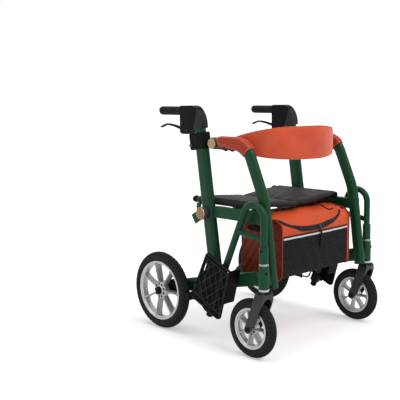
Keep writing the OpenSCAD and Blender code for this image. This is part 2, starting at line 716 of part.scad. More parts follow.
// Front wheel parts lie about this axis, z outwards
module front_hub_frame() translate([-column_lat, axle_y - front_f, front_z]) rotate([0, -90, 0]) children();
module caster_fork(s) color("black") hand(s) difference() {
  union() {
    column_frame() translate([0, 0, ring_z - eps]) cylinder(d = stem_d, h = head_z + head_len - 10 - ring_z);
    column_frame() translate([0, 0, ring_z - eps]) cylinder(d = head_d - 3, h = ring_h + eps);
    side(column_lat) slab(-fork_in - fork_t, fork_in + fork_t)
      round_rect(column_f - 19, column_f + 19, crown_z, ring_z, 6);
    for (e = [-1, 1]) side(column_lat + e * (fork_in + fork_t / 2)) slab(-fork_t / 2, fork_t / 2) fork_leg();
  }
  front_hub_frame() rod(front_axle_d + 2 * run_gap, -column_out, column_out);
}
module fork_leg() {
  top = [column_f, crown_z + 6];
  axle = [front_f, front_z];
  translate(axle) circle(r = 14);
  reach = norm(top - axle);
  translate(axle) rotate(heading(axle, top)) polygon([[0, -14], [reach, -19], [reach, 15], [0, 14]]);
}

module front_axle(s) color("silver") hand(s) front_hub_frame() {
  rod(front_axle_d, -fork_in - fork_t - 4, fork_in + fork_t + 4);
  rod(front_axle_d + 7, fork_in + fork_t + seat_gap, fork_in + fork_t + 5);
  rod(front_axle_d + 7, -fork_in - fork_t - 5, -fork_in - fork_t - seat_gap);
}
module front_tyre(s) color("dimgray") hand(s) front_hub_frame() tyre(front_d, front_rim_d, front_tyre_w);
module front_rim(s) color("silver") hand(s) front_hub_frame()
  rim(front_rim_d, front_tyre_w - 8, 30, front_hub_half, front_axle_d + 2 * run_gap);

// Footrest hanger: sleeve on the column, hoop, leg and cross bar
module hanger(s) color("darkgreen") hand(s) difference() {
  union() {
    side(column_lat) bent(hanger_path, hanger_radii, hanger_d, hanger_d);
    side(column_lat) run(cross_p0, cross_p1) circle(d = cross_d);
    column_frame() translate([0, 0, sleeve_z]) cylinder(d = sleeve_d, h = sleeve_top - sleeve_z);
  }
  side(column_lat) run(leg_point(-eps), leg_point(leg_len)) circle(d = hanger_d - 2 * wall);
  column_frame() translate([0, 0, sleeve_z - eps])
    cylinder(d = hanger_post_d + 2 * run_gap, h = sleeve_top - sleeve_z - 2);
  column_frame() translate([-sleeve_d, 0, snap_z]) rotate([0, 90, 0])
    cylinder(d = snap_d + 2 * run_gap, h = sleeve_d);
}
module snap_button(s) color("silver") hand(s) column_frame()
  translate([-hanger_post_d / 2 - 0.5 - snap_len, 0, snap_z]) rotate([0, 90, 0])
    cylinder(d = snap_d, h = snap_len);

// Clamp on the leg's lower end, with the lug that carries the footplate
module foot_clamp(s) color("black") hand(s) leg_frame() difference() {
  union() {
    along_y(clamp_leg_y0, clamp_leg_y1)
      round_rect(-clamp_leg_w / 2, clamp_leg_w / 2, -clamp_leg_w / 2 + 2, clamp_leg_w / 2 - 2, 6);
    translate([-lug_w / 2, 0, 0]) rotate([90, 0, 90]) linear_extrude(lug_w) {
      translate([hinge_y, hinge_out]) circle(r = 8);
      translate([hinge_y - 8, 6]) square([16, hinge_out - 6]);
    }
  }
  along_y(0, clamp_leg_y1 + eps) circle(d = hanger_d + 2 * seat_gap);
  translate([-lug_w, hinge_y, hinge_out]) rotate([0, 90, 0])
    cylinder(d = hinge_d + 2 * run_gap, h = 2 * lug_w);
}

// Footplate: a ribbed tray with a heel stop, hinged beside the leg
// It is wider at its hinge end: place of its front and rear edges at a length y
function plate_front(y) = plate_p1 + plate_flare * (plate_top - y) / plate_len;
function plate_rear(y) = plate_p0 - plate_flare / 4 * (plate_top - y) / plate_len;
// Outline between two lengths, drawn in by a margin, with its corners cut
module plate_field(y0, y1, margin, cut) polygon([
  [plate_rear(y0) + margin + cut, y0],
  [plate_front(y0) - margin - cut, y0],
  [plate_front(y0 + cut) - margin, y0 + cut],
  [plate_front(y1 - cut) - margin, y1 - cut],
  [plate_front(y1) - margin - cut, y1],
  [plate_rear(y1) + margin + cut, y1],
  [plate_rear(y1 - cut) + margin, y1 - cut],
  [plate_rear(y0 + cut) + margin, y0 + cut]
]);
module plate_outline() difference() {
  plate_field(plate_y0, plate_top, 0, plate_cut);
  translate([-lug_w / 2 - 4, plate_y0 - eps]) square([lug_w + 8, 14]);
}
module rib_grid() intersection() {
  plate_outline();
  for (e = [-1, 1], i = [-6 : 6])
    translate([(plate_p0 + plate_p1) / 2 + i * rib_step * 1.15, plate_y0 + plate_len / 2]) rotate(e * 28)
      square([rib_t, 2 * plate_len], center = true);
}
module rim_lines() difference() {
  plate_outline();
  plate_field(plate_y0 + 24, plate_top - 20, 5, 3);
}
module footplate(s) color("black") hand(s) leg_frame() difference() {
  union() {
    slab(plate_out, plate_out + skin_t) plate_outline();
    slab(plate_out + skin_t - 0.5, plate_out + plate_t - 2) rib_grid();
    slab(plate_out + skin_t - 0.5, plate_out + plate_t) rim_lines();
    // hinge ears and pin
    for (e = [-1, 1]) translate([e * (lug_w / 2 + 5) - 4.5, 0, 0]) rotate([90, 0, 90]) linear_extrude(9) {
      translate([hinge_y, hinge_out]) circle(r = ear_hinge_r);
      translate([hinge_y, plate_out]) square([plate_y0 + 20 - hinge_y, 6]);
    }
    translate([-lug_w / 2 - 9, hinge_y, hinge_out]) rotate([0, 90, 0]) cylinder(d = hinge_d, h = lug_w + 18);
    // heel stop along the front edge, with a bead at its upper end
    slab(-heel_reach, plate_out + 1) polygon([
      [plate_front(heel_y0) - heel_t, heel_y0],
      [plate_front(heel_y0), heel_y0],
      [plate_front(heel_y1), heel_y1],
      [plate_front(heel_y1) - heel_t, heel_y1]
    ]);
    translate([plate_front(heel_y1) - 5, heel_y1]) rod(10, -heel_reach, plate_out + 1);
  }
  // through holes
  for (p = [[plate_p1 - 9, plate_top - 11], [plate_p1 - 47, plate_y0 + 71], [plate_p1 + 12, plate_y0 + 62]])
    translate(p) rod(9, plate_out - eps, plate_out + plate_t + eps);
  // long slot beside the rear edge
  slab(plate_out - eps, plate_out + plate_t + eps)
    round_rect(plate_p0 + 8, plate_p0 + 17, plate_top - 72, plate_top - 38, 4);
}

// Pivot of the backrest: copper cap outside, pin through the armrest, bracket inside
module backrest_arm(s) color("peru") hand(s) side(0) translate([back_f, armrest_h]) {
  rod(back_pin_d, bracket_out - eps, side_lat + post_b / 2 + 3);
  rod(cap_d, side_lat + post_b / 2 + 0.4, side_lat + post_b / 2 + 0.4 + cap_t);
  slab(bracket_out - bracket_t, bracket_out) circle(d = band_end_h);
  slab(bracket_out - bracket_t, bracket_bar_out)
    translate([0, -band_end_h / 2 + 3]) square([band_arm + 8, band_end_h - 6]);
}

// Backrest: a leather band bent round in front of the user, tallest at its middle
function band_half(t) = band_end_h / 2 + (band_h - band_end_h) / 2 * sin(90 * t);
module band_profile() {
  n = 14;
  span = band_out;
  polygon(concat(
    [[back_f - 4, armrest_h - band_end_h / 2], [back_f - 4, armrest_h + band_end_h / 2]],
    [for (i = [0 : n]) [back_f + band_arm + span * i / n, armrest_h + 5 * i / n + band_half(i / n)]],
    [for (i = [n : -1 : 0]) [back_f + band_arm + span * i / n, armrest_h + 5 * i / n - band_half(i / n)]]
  ));
}
module band_plan(r) {
  circle(r = r, $fn = 128);
  translate([-r, 0]) square([2 * r, band_arm + 4]);
}
module backrest_band() color("orangered") intersection() {
  translate([0, axle_y - back_f - band_arm, armrest_h - band_h]) linear_extrude(2 * band_h) difference() {
    band_plan(band_out);
    band_plan(band_r);
    translate([-band_out, band_arm + 4 - eps]) square([2 * band_out, band_arm]);
  }
  side(-side_lat) slab(0, side_span) band_profile();
}

// Cross brace bar from a lower pivot on the right to the seat tube on the left
module brace(f0) difference() {
  union() {
    translate([-seat_lat, axle_y - f0, fold_z]) rotate([90, 0, 0]) rotate(brace_deg)
      linear_extrude(brace_t) polygon([
        [0, -brace_h / 2], [brace_len, -brace_h / 2], [brace_len, 0],
        [brace_len - 0.8 * brace_h, brace_h / 2], [0, brace_h / 2]
      ]);
    brace_rod(eye_d, eye_len);
    translate([seat_lat, axle_y - seat_f0, seat_h]) rotate([90, 0, 0])
      cylinder(d = seat_tube_d, h = seat_f1 - seat_f0);
  }
  // seat tube bore, open at the rear
  translate([seat_lat, axle_y - seat_f0 + eps, seat_h]) rotate([90, 0, 0])
    cylinder(d = seat_tube_d - 2 * wall, h = seat_f1 - seat_f0 - 12 + eps);
}
module lower_pin() brace_rod(brace_pin_d, eye_len + 2 * ear_t + 4);
module middle_pin(d, h) translate([0, axle_y - brace_f, fold_z + brace_rise / 2]) rotate([90, 0, 0])
  cylinder(d = d, h = h, center = true);

module brace_a() color("darkgreen") union() {
  brace(brace_f - brace_gap / 2 - brace_t);
  lower_pin();
  // middle pin with its spacer and head
  middle_pin(brace_pin_d, 2 * brace_t + brace_gap + 4);
  middle_pin(brace_pin_d + 10, brace_gap - 0.4);
  translate([0, -brace_t - brace_gap / 2 - 1.8, 0]) middle_pin(brace_pin_d + 8, 3);
}
module brace_b() color("darkgreen") difference() {
  union() {
    mirror([1, 0, 0]) brace(brace_f + brace_gap / 2);
    mirror([1, 0, 0]) lower_pin();
  }
  middle_pin(brace_pin_d + 2 * run_gap, 4 * brace_t);
}

// Seat cushion half: rounded loops from rear to front, crowned, drawn in between its corners
function bulge(t) = sign(t) * pow(abs(t), 2 / cushion_pow);
function ring_t(k) = -cos(180 * k / cushion_rings);
function end_round(t) = pow(max(0, 1 - pow(abs(t), 8)), 1 / 6);
function cushion_x(k) =
  cushion_edge / 2 - 0.5 - cushion_pinch / 2 * cos(90 * ring_t(k)) * end_round(ring_t(k));
function cushion_point(k, a) =
  let (
    t = ring_t(k),
    e = max(0.05, end_round(t)),
    x = bulge(cos(a)) * cushion_x(k),
    f = (cushion_f0 + cushion_f1) / 2 + t * (cushion_f1 - cushion_f0) / 2
  )
  [
    -cushion_edge / 2 - 0.5 + x,
    axle_y - f,
    seat_h - 2 - cushion_drop * (x / cushion_edge + 0.5)
      + e * (bulge(sin(a)) * cushion_half_t + cushion_crown * max(0, sin(a)) * cos(90 * t))
  ];
function cushion_ring(k) = [for (j = [0 : cushion_sides - 1]) cushion_point(k, 360 * j / cushion_sides)];
module cushion_form() {
  n = cushion_sides;
  m = cushion_rings;
  points = [for (k = [0 : m]) each cushion_ring(k)];
  skin = [for (k = [0 : m - 1], j = [0 : n - 1]) each [
    [k * n + j, k * n + (j + 1) % n, (k + 1) * n + j],
    [k * n + (j + 1) % n, (k + 1) * n + (j + 1) % n, (k + 1) * n + j]
  ]];
  caps = [for (j = [1 : n - 2]) each [[0, j + 1, j], [m * n, m * n + j, m * n + j + 1]]];
  polyhedron(points, concat(skin, caps));
}
// Room in the cushion for what carries it: its tube, the saddles and the brace bars
module cushion_room() {
  translate([-seat_lat, axle_y - seat_f0 + eps, seat_h]) rotate([90, 0, 0])
    cylinder(d = seat_tube_d + 2 * seat_gap, h = seat_f1 - seat_f0 + 2 * eps);
  for (f = concat(saddle_fs, [guide_f]))
    side(0) slab(seat_lat - seat_tube_d / 2 - 2, side_lat)
      translate([f - 2, saddle_z - 40]) square([saddle_len + 4, 40 + seat_gap]);
  side(0) slab(seat_lat - 120, seat_lat + seat_tube_d / 2)
    translate([brace_f - brace_t - 4, seat_h - 60]) square([2 * brace_t + 8, 62]);
}
module seat_half(s) color("dimgray") hand(s) difference() {
  cushion_form();
  cushion_room();
}

// Shopping bag under the seat, hung from the seat rails by four tabs
module bag_outline() polygon([
  [bag_f0, bag_z + bag_corner], [bag_f0 + bag_corner, bag_z], [bag_f1 - bag_corner, bag_z],
  [bag_f1, bag_z + bag_corner], [bag_f1, bag_front_top - 6], [bag_f1 - 8, bag_front_top + 2],
  [bag_lid_f + 12, bag_top - 3], [bag_lid_f, bag_top], [bag_f0 + 6, bag_top], [bag_f0, bag_top - 6]
]);
module bag() color("orangered") {
  side(0) slab(-bag_w / 2, bag_w / 2) bag_outline();
  for (s = [-1, 1], f = [bag_f0 + 16, bag_lid_f - 34])
    hand(s) side(0) slab(bag_w / 2 - eps, rail_in - seat_gap)
      translate([f, bag_top - 3 - tab_h]) square([tab_len, tab_h]);
}

armrest_tube(-1);  // armrest_tube_right
armrest_tube(1);  // armrest_tube_left
seat_rail(-1);  // seat_rail_right
seat_rail(1);  // seat_rail_left
lower_arm(-1);  // lower_arm_right
lower_arm(1);  // lower_arm_left
armrest_pad(-1);  // armrest_pad_right
armrest_pad(1);  // armrest_pad_left
rear_axle(-1);  // rear_axle_right
rear_axle(1);  // rear_axle_left
pivot_bolt(-1);  // pivot_bolt_right
pivot_bolt(1);  // pivot_bolt_left
brake_arm(-1);  // brake_arm_right
brake_arm(1);  // brake_arm_left
brake_cable(-1);  // brake_cable_right
brake_cable(1);  // brake_cable_left
upright(-1);  // upright_right
upright(1);  // upright_left
height_clamp(-1);  // height_clamp_right
height_clamp(1);  // height_clamp_left
height_button(-1);  // height_button_right
height_button(1);  // height_button_left
tilt_knob(-1);  // tilt_knob_right
tilt_knob(1);  // tilt_knob_left
handle_tube(-1);  // handle_tube_right
handle_tube(1);  // handle_tube_left
handle_head(-1);  // handle_head_right
handle_head(1);  // handle_head_left
grip(-1);  // grip_right
grip(1);  // grip_left
brake_lever(-1);  // brake_lever_right
brake_lever(1);  // brake_lever_left
rear_tyre(-1);  // rear_tyre_right
rear_tyre(1);  // rear_tyre_left
rear_rim(-1);  // rear_rim_right
rear_rim(1);  // rear_rim_left
caster_fork(-1);  // caster_fork_right
caster_fork(1);  // caster_fork_left
front_axle(-1);  // front_axle_right
front_axle(1);  // front_axle_left
front_tyre(-1);  // front_tyre_right
front_tyre(1);  // front_tyre_left
front_rim(-1);  // front_rim_right
front_rim(1);  // front_rim_left
hanger(-1);  // hanger_right
hanger(1);  // hanger_left
snap_button(-1);  // snap_button_right
snap_button(1);  // snap_button_left
foot_clamp(-1);  // foot_clamp_right
foot_clamp(1);  // foot_clamp_left
footplate(-1);  // footplate_right
footplate(1);  // footplate_left
backrest_arm(-1);  // backrest_arm_right
backrest_arm(1);  // backrest_arm_left
backrest_band();
brace_a();
brace_b();
seat_half(-1);  // seat_half_right
seat_half(1);  // seat_half_left
bag();
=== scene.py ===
import math

import bmesh
import bpy
import numpy as np
from mathutils import Matrix, Vector
from mathutils.bvhtree import BVHTree


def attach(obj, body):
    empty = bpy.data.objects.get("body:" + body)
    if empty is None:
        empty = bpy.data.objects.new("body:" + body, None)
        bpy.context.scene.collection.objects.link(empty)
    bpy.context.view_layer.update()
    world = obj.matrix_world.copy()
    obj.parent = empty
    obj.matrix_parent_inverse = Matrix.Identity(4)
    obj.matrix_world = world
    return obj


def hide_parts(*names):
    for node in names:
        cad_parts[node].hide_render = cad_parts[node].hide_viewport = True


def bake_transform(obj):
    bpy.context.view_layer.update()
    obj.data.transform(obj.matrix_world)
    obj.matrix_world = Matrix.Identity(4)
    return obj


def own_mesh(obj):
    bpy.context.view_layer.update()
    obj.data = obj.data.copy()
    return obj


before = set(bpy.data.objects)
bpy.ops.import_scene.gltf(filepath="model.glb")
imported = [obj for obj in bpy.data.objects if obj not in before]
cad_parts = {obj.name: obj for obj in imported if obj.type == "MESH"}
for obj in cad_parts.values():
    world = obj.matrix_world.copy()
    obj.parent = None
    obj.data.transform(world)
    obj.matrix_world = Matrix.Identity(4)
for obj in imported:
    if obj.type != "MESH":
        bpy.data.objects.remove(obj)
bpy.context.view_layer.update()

# Frame of the part: lat is to the left of the middle, f forward of the rear axle, z up, in mm
MM = 0.001
AXLE_Y = 0.220
SIDES = (("right", -1), ("left", 1))
SIDE_LAT, ARM_Z = 256.0, 720.0
COLUMN_LAT, COLUMN_F = 300.0, 535.0
UP = (0, 0, 1.0)
AHEAD = (0, -1.0, 0)
AXIS_R = 0.01


def at(lat, f, z):
    return np.array((lat * MM, AXLE_Y - f * MM, z * MM))


# Camera, fitted to the photograph
camera = bpy.data.objects.new("camera", bpy.data.cameras.new("camera"))
bpy.context.scene.collection.objects.link(camera)
camera.data.sensor_width = 36
camera.data.lens = 66.15
camera.data.shift_x = -0.1342
camera.data.shift_y = -0.0564
camera.data.clip_end = 120
camera_right = Vector((0.6797, -0.7335, 0.0)).normalized()
camera_ahead = Vector((0.72936, 0.67587, -0.10609)).normalized()
camera_up = camera_right.cross(camera_ahead)
turn = Matrix((camera_right, camera_up, -camera_ahead)).transposed().to_4x4()
camera.matrix_world = Matrix.Translation((-2.0822, -1.9201, 0.8768)) @ turn
bpy.context.scene.camera = camera


# Materials
class Material:
    """A principled material built from nodes in object coordinates, which are metres."""

    def __init__(self, name, rough, metal=0.0, sheen=0.0, spec=0.5):
        self.data = bpy.data.materials.new(name)
        self.data.use_nodes = True
        self.tree = self.data.node_tree
        self.bsdf = self.tree.nodes["Principled BSDF"]
        for socket, value in (("Roughness", rough), ("Metallic", metal), ("Sheen Weight", sheen),
                              ("Specular IOR Level", spec)):
            self.bsdf.inputs[socket].default_value = value
        self.coord = self.node("TexCoord").outputs["Object"]
        self.normal = None

    def feed(self, socket, value):
        """Links a node's output to a socket, or sets a number or colour on it."""
        if isinstance(value, bpy.types.NodeSocket):
            self.tree.links.new(value, socket)
        else:
            socket.default_value = value

    def node(self, kind, **inputs):
        n = self.tree.nodes.new("ShaderNode" + kind)
        for name, value in inputs.items():
            self.feed(n.inputs[name], value)
        return n

    def noise(self, scale, detail=3.0):
        return self.node("TexNoise", Scale=scale, Detail=detail, Vector=self.coord).outputs["Fac"]

    def cells(self, scale):
        return self.node("TexVoronoi", Scale=scale, Vector=self.coord).outputs["Distance"]

    def weave(self, pitch):
        """Over and under threads: the product of two sine waves and a third, pitch in metres."""
        turned = self.node("Mapping", Vector=self.coord, Scale=(2 * math.pi / pitch,) * 3,
                           Rotation=(0, 0, 0.785))
        split = self.node("SeparateXYZ", Vector=turned.outputs["Vector"])
        waves = [self.math("SINE", split.outputs[k]) for k in range(3)]
        return self.math("ADD", self.math("MULTIPLY", waves[0], waves[1]), waves[2])

    def math(self, op, *values):
        n = self.node("Math")
        n.operation = op
        for socket, value in zip(n.inputs, values):
            self.feed(socket, value)
        return n.outputs[0]

    def ramp(self, fac, *stops):
        n = self.node("ValToRGB", Fac=fac)
        for e, (place, colour) in zip(n.color_ramp.elements, stops):
            e.position = place
            e.color = (colour,) * 3 + (1,) if isinstance(colour, float) else (*colour, 1)
        return n.outputs["Color"]

    def mix(self, fac, a, b):
        n = self.node("Mix")
        n.data_type = "RGBA"
        for name, value in (("Factor", fac), ("A", a), ("B", b)):
            self.feed(n.inputs[name], (*value, 1) if isinstance(value, tuple) else value)
        return n.outputs["Result"]

    def colour(self, out):
        self.feed(self.bsdf.inputs["Base Color"], out)

    def rough(self, fac, low, high):
        self.feed(self.bsdf.inputs["Roughness"], self.ramp(fac, (0.3, low), (0.7, high)))

    def bump(self, height, strength, depth_mm):
        n = self.node("Bump", Strength=strength, Distance=depth_mm * MM, Height=height)
        if self.normal is not None:
            self.feed(n.inputs["Normal"], self.normal)
        self.normal = n.outputs["Normal"]
        self.feed(self.bsdf.inputs["Normal"], self.normal)

    def edge(self):
        """Where the surface turns sharply outwards, from 0 to 1."""
        return self.ramp(self.node("NewGeometry").outputs["Pointiness"], (0.52, 0.0), (0.62, 1.0))

    def cloudy(self, scale, detail, colour, vary):
        low, high = shade(colour, 1 - vary), shade(colour, 1 + vary)
        return self.ramp(self.noise(scale, detail), (0.3, low), (0.7, high))


def shade(colour, k):
    return tuple(min(1.0, c * k) for c in colour)


def paint(name, colour, rough, spec=0.15, grain=900, grain_depth=0.05, vary=0.12, wear=0.35):
    """Painted or moulded surface: cloudy colour, grain, and edges rubbed lighter."""
    m = Material(name, rough, spec=spec)
    m.colour(m.mix(m.math("MULTIPLY", m.edge(), wear), m.cloudy(22, 4, colour, vary), shade(colour, 2.2)))
    m.rough(m.noise(60), rough - 0.05, rough + 0.07)
    m.bump(m.noise(grain, 2), 0.25, grain_depth)
    return m.data


def leather(name, colour, rough=0.42, vary=0.16, spec=0.2):
    """Pebbled leather: cell grain, creases, a cloudy tone and lighter rubbed edges."""
    m = Material(name, rough, spec=spec)
    pore = m.ramp(m.cells(700), (0.0, shade(colour, 0.55)), (0.25, colour))
    tone = m.mix(m.noise(300, 2), m.cloudy(14, 5, colour, vary), pore)
    m.colour(m.mix(m.math("MULTIPLY", m.edge(), 0.5), tone, shade(colour, 1.5)))
    m.rough(m.noise(90), rough - 0.08, rough + 0.1)
    m.bump(m.cells(650), 0.22, 0.25)
    m.bump(m.noise(120, 4), 0.15, 0.5)
    return m.data


def fabric(name, colour, pitch, rough=0.8, sheen=0.25, vary=0.25, depth=0.3):
    """Woven cloth: threads in colour and height, with a cloudy tone over them."""
    m = Material(name, rough, sheen=sheen, spec=0.15)
    threads = m.ramp(m.weave(pitch), (0.3, shade(colour, 1 - vary)), (0.8, shade(colour, 1 + vary)))
    m.colour(m.mix(m.math("MULTIPLY", m.noise(18, 4), 0.7), threads, shade(colour, 1 + vary)))
    m.rough(m.noise(40), rough - 0.1, rough + 0.08)
    m.bump(m.weave(pitch), 0.35, depth)
    m.bump(m.noise(45), 0.12, 1.2)
    return m.data


def metal(name, colour, rough, metallic=1.0):
    """Bright metal with fine brushing and smudges."""
    m = Material(name, rough, metallic)
    m.colour(m.ramp(m.noise(35, 4), (0.3, shade(colour, 0.9)), (0.7, colour)))
    m.rough(m.noise(220), max(0.04, rough - 0.06), rough + 0.08)
    m.bump(m.noise(900, 2), 0.08, 0.05)
    return m.data


GREEN = paint("frame_green", (0.0075, 0.061, 0.0245), 0.33, 0.16, 1400, 0.02, vary=0.05, wear=0.1)
BLACK = paint("black_plastic", (0.0042, 0.0044, 0.0052), 0.42, 0.07, 1500, 0.08, wear=0.5)
# The head's cover: lighter and glossier than the housing's black. The gloss is its own; the lighter colour
# is painted light, setting the cover off from the housing along the seam.
COVER_PAINTED_LIGHT = paint("cover_black_painted_light", (0.0085, 0.009, 0.0112), 0.30, 0.22, 1500, wear=0.5)
FORK = paint("fork_black", (0.0135, 0.0138, 0.0148), 0.34, 0.35, 1500, wear=0.5)
SOFT_BLACK = paint("soft_black", (0.006, 0.006, 0.0065), 0.6, 0.12, 1100, 0.12)
STEEL = metal("bright_steel", (0.60, 0.60, 0.61), 0.16)
SILVER = metal("rim_silver", (0.60, 0.60, 0.595), 0.36, 0.6)
# The rim's silver made darker for the blades: painted shade, as blades and lips are one casting.
BLADE = metal("rim_blade_painted_shade", (0.45, 0.45, 0.455), 0.42, 0.5)
PLATE = paint("plate_black", (0.0032, 0.0034, 0.004), 0.5, 0.05, 1200, 0.1, wear=0.8)
# A lighter grey than the plate for its ribs and edge bead: painted highlight where light catches the rib
# edges.
RIB_PAINTED_HIGHLIGHT = paint("plate_rib", (0.017, 0.018, 0.0195), 0.45, 0.2, 1200, 0.08, wear=0.6)
TYRE = paint("tyre_rubber", (0.021, 0.021, 0.0215), 0.74, 0.12, 700, 0.15, wear=0.3)
GRIP = paint("grip_rubber", (0.009, 0.009, 0.0095), 0.6, 0.12, 1000, 0.2)
TAN = leather("tan_leather", (0.74, 0.097, 0.036), vary=0.26, spec=0.35)
SLEEVE = leather("sleeve_leather", (0.43, 0.051, 0.022), 0.38, 0.22)
TAN_EDGE = leather("tan_edge", (0.76, 0.13, 0.058), 0.5)
BROWN = leather("brown_leather", (0.085, 0.014, 0.009), 0.5)
BAG = leather("bag_cover", (0.66, 0.086, 0.022), 0.4, 0.2)
BAG_EDGE = leather("bag_piping", (0.42, 0.026, 0.008), 0.45)
BAG_SIDE = leather("bag_side", (0.20, 0.026, 0.0095), 0.45, 0.3)
THREAD_PALE = fabric("pale_thread", (0.80, 0.27, 0.16), 0.0006)
THREAD_BROWN = fabric("brown_thread", (0.34, 0.085, 0.050), 0.0006)
THREAD_DARK = fabric("dark_thread", (0.05, 0.05, 0.052), 0.0006)
SEAT = fabric("seat_fabric", (0.0135, 0.0136, 0.015), 0.0011, 0.62, 0.06, 0.18, 0.2)
WEBBING = fabric("black_webbing", (0.010, 0.010, 0.011), 0.0022, sheen=0.08)
NET = fabric("pocket_net", (0.045, 0.046, 0.049), 0.0012, 0.6, 0.1)
REFLECTIVE = fabric("reflective_strip", (0.78, 0.78, 0.78), 0.0014, 0.35, 0.0, 0.06)
COPPER = metal("copper_cap", (0.48, 0.31, 0.175), 0.40, 0.3)
# A darker copy of the cap copper for the tilt knob's disc: painted shade.
COPPER_PAINTED_SHADE = metal("copper_painted_shade", (0.33, 0.185, 0.09), 0.40, 0.3)
COPPER_EDGE = metal("copper_edge", (0.74, 0.55, 0.36), 0.3, 0.4)
KNOB_GREY = paint("knob_grey", (0.045, 0.045, 0.049), 0.45, 0.2, 1300, 0.1)
WHITE = paint("white_ring", (0.82, 0.82, 0.81), 0.4, grain=1300, grain_depth=0.03, vary=0.04, wear=0.0)

NODE_MATERIALS = (
    (GREEN, "armrest_tube seat_rail lower_arm upright handle_tube hanger brace"),
    (BLACK, "pivot_bolt brake_arm backrest_arm foot_clamp footplate handle_head"),
    (BLACK, "height_clamp brake_lever caster_fork"), (KNOB_GREY, "height_button tilt_knob"),
    (SOFT_BLACK, "rear_axle front_axle snap_button brake_cable"), (GRIP, "grip"),
    (TYRE, "rear_tyre front_tyre"), (SILVER, "rear_rim front_rim"), (TAN, "armrest_pad backrest_band"),
    (SEAT, "seat_half"), (BAG, "bag"),
)
for name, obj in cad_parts.items():
    if not obj.material_slots:
        obj.data.materials.append(None)
    for slot in obj.material_slots:
        slot.material = next(m for m, starts in NODE_MATERIALS if name.startswith(tuple(starts.split())))


# Mesh helpers
def unit(v):
    v = np.asarray(v, float)
    return v / np.maximum(np.linalg.norm(v, axis=-1, keepdims=True), 1e-12)


def new_piece(name, verts, faces, material, sharp):
    mesh = bpy.data.meshes.new(name)
    mesh.from_pydata(np.asarray(verts, float).reshape(-1, 3).tolist(), [], [list(f) for f in faces])
    work = bmesh.new()
    work.from_mesh(mesh)
    bmesh.ops.remove_doubles(work, verts=work.verts, dist=1e-6)
    bmesh.ops.dissolve_degenerate(work, edges=work.edges, dist=1e-7)
    bmesh.ops.recalc_face_normals(work, faces=work.faces)
    bmesh.ops.delete(work, geom=[v for v in work.verts if not v.link_faces], context="VERTS")
    work.to_mesh(mesh)
    work.free()
    mesh.shade_smooth()
    if sharp:
        mesh.set_sharp_from_angle(angle=math.radians(sharp))
    mesh.materials.append(material)
    return add_object(name, mesh)


def add_object(name, mesh):
    obj = bpy.data.objects.new(name, mesh)
    bpy.context.scene.collection.objects.link(obj)
    return obj


def put(obj, body, slot="black_plastic", *replaced):
    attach(obj, body)
    if replaced:
        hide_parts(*replaced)
    return obj


def grid_faces(m, n, wrap=True, loop=False):
    rows, columns = (m if loop else m - 1), (n if wrap else n - 1)
    return [(i * n + j, i * n + (j + 1) % n, (i + 1) % m * n + (j + 1) % n, (i + 1) % m * n + j)
            for i in range(rows) for j in range(columns)]


def loft(name, rings, material, loop=False, sharp=40):
    """Closed skin through rings of points; its ends are capped unless it loops."""
    rings = np.asarray(rings, float)
    m, n = rings.shape[:2]
    faces = grid_faces(m, n, True, loop)
    if not loop:
        faces += [tuple(range(n)), tuple(range((m - 1) * n, m * n))]
    return new_piece(name, rings, faces, material, sharp)


def resample(path, count, closed=False):
    path = np.asarray(path, float)
    if closed:
        path = np.vstack([path, path[:1]])
    s = np.concatenate([[0], np.cumsum(np.linalg.norm(np.diff(path, axis=0), axis=1))])
    t = np.linspace(0, s[-1], count, endpoint=not closed)
    return np.stack([np.interp(t, s, path[:, k]) for k in range(path.shape[1])], 1)


def smooth_curve(points, count, closed=False):
    """Catmull-Rom curve through the points, evenly sampled."""
    p = np.asarray(points, float)
    if closed:
        p = np.vstack([p[-1:], p, p[:2]])
    else:
        p = np.vstack([2 * p[:1] - p[1:2], p, 2 * p[-1:] - p[-2:-1]])
    t = np.linspace(0, 1, 24, endpoint=False)[:, None]
    out = []
    for a, b, c, d in zip(p[:-3], p[1:-2], p[2:-1], p[3:]):
        out.append(0.5 * (2 * b + (c - a) * t + (2 * a - 5 * b + 4 * c - d) * t ** 2
                          + (3 * b - a - 3 * c + d) * t ** 3))
    out = np.vstack(out + ([] if closed else [p[-2:-1]]))
    return resample(out, count, closed)


def tangents(path, closed=False):
    if closed:
        return unit(np.roll(path, -1, 0) - np.roll(path, 1, 0))
    return unit(np.gradient(path, axis=0))


def carried_frames(path):
    """Two unit vectors across the path at each point, turning as little as they can."""
    along = tangents(path)
    across = [unit(np.cross(along[0], (0.31, 0.17, 0.94)))]
    for t in along[1:]:
        across.append(unit(across[-1] - t * np.dot(across[-1], t)))
    across = np.array(across)
    return across, np.cross(along, across)


def sweep(name, path, section, material, ups=None, closed=False, sharp=40):
    """A section of (across, up) points in mm, carried along a path."""
    path = np.asarray(path, float)
    if ups is None:
        across, up = carried_frames(path)
    else:
        across = unit(np.cross(tangents(path, closed), ups))
        up = np.cross(across, tangents(path, closed))
    section = np.asarray(section, float) * MM
    if section.ndim == 2:
        section = np.repeat(section[None], len(path), 0)
    rings = path[:, None] + section[..., :1] * across[:, None] + section[..., 1:] * up[:, None]
    return loft(name, rings, material, closed, sharp)


def around(n, start=0.0):
    return np.linspace(start, start + 2 * np.pi, n, endpoint=False)


def circle(r, n):
    return np.stack([r * np.cos(around(n)), r * np.sin(around(n))], 1)


def box(w, h, r, steps=3):
    """Rounded section, w and h to each side of its middle."""
    return rounded([(-w, -h), (w, -h), (w, h), (-w, h)], r, steps)


def tube(name, path, r, material, n=10):
    return sweep(name, path, circle(r, n), material, sharp=60)


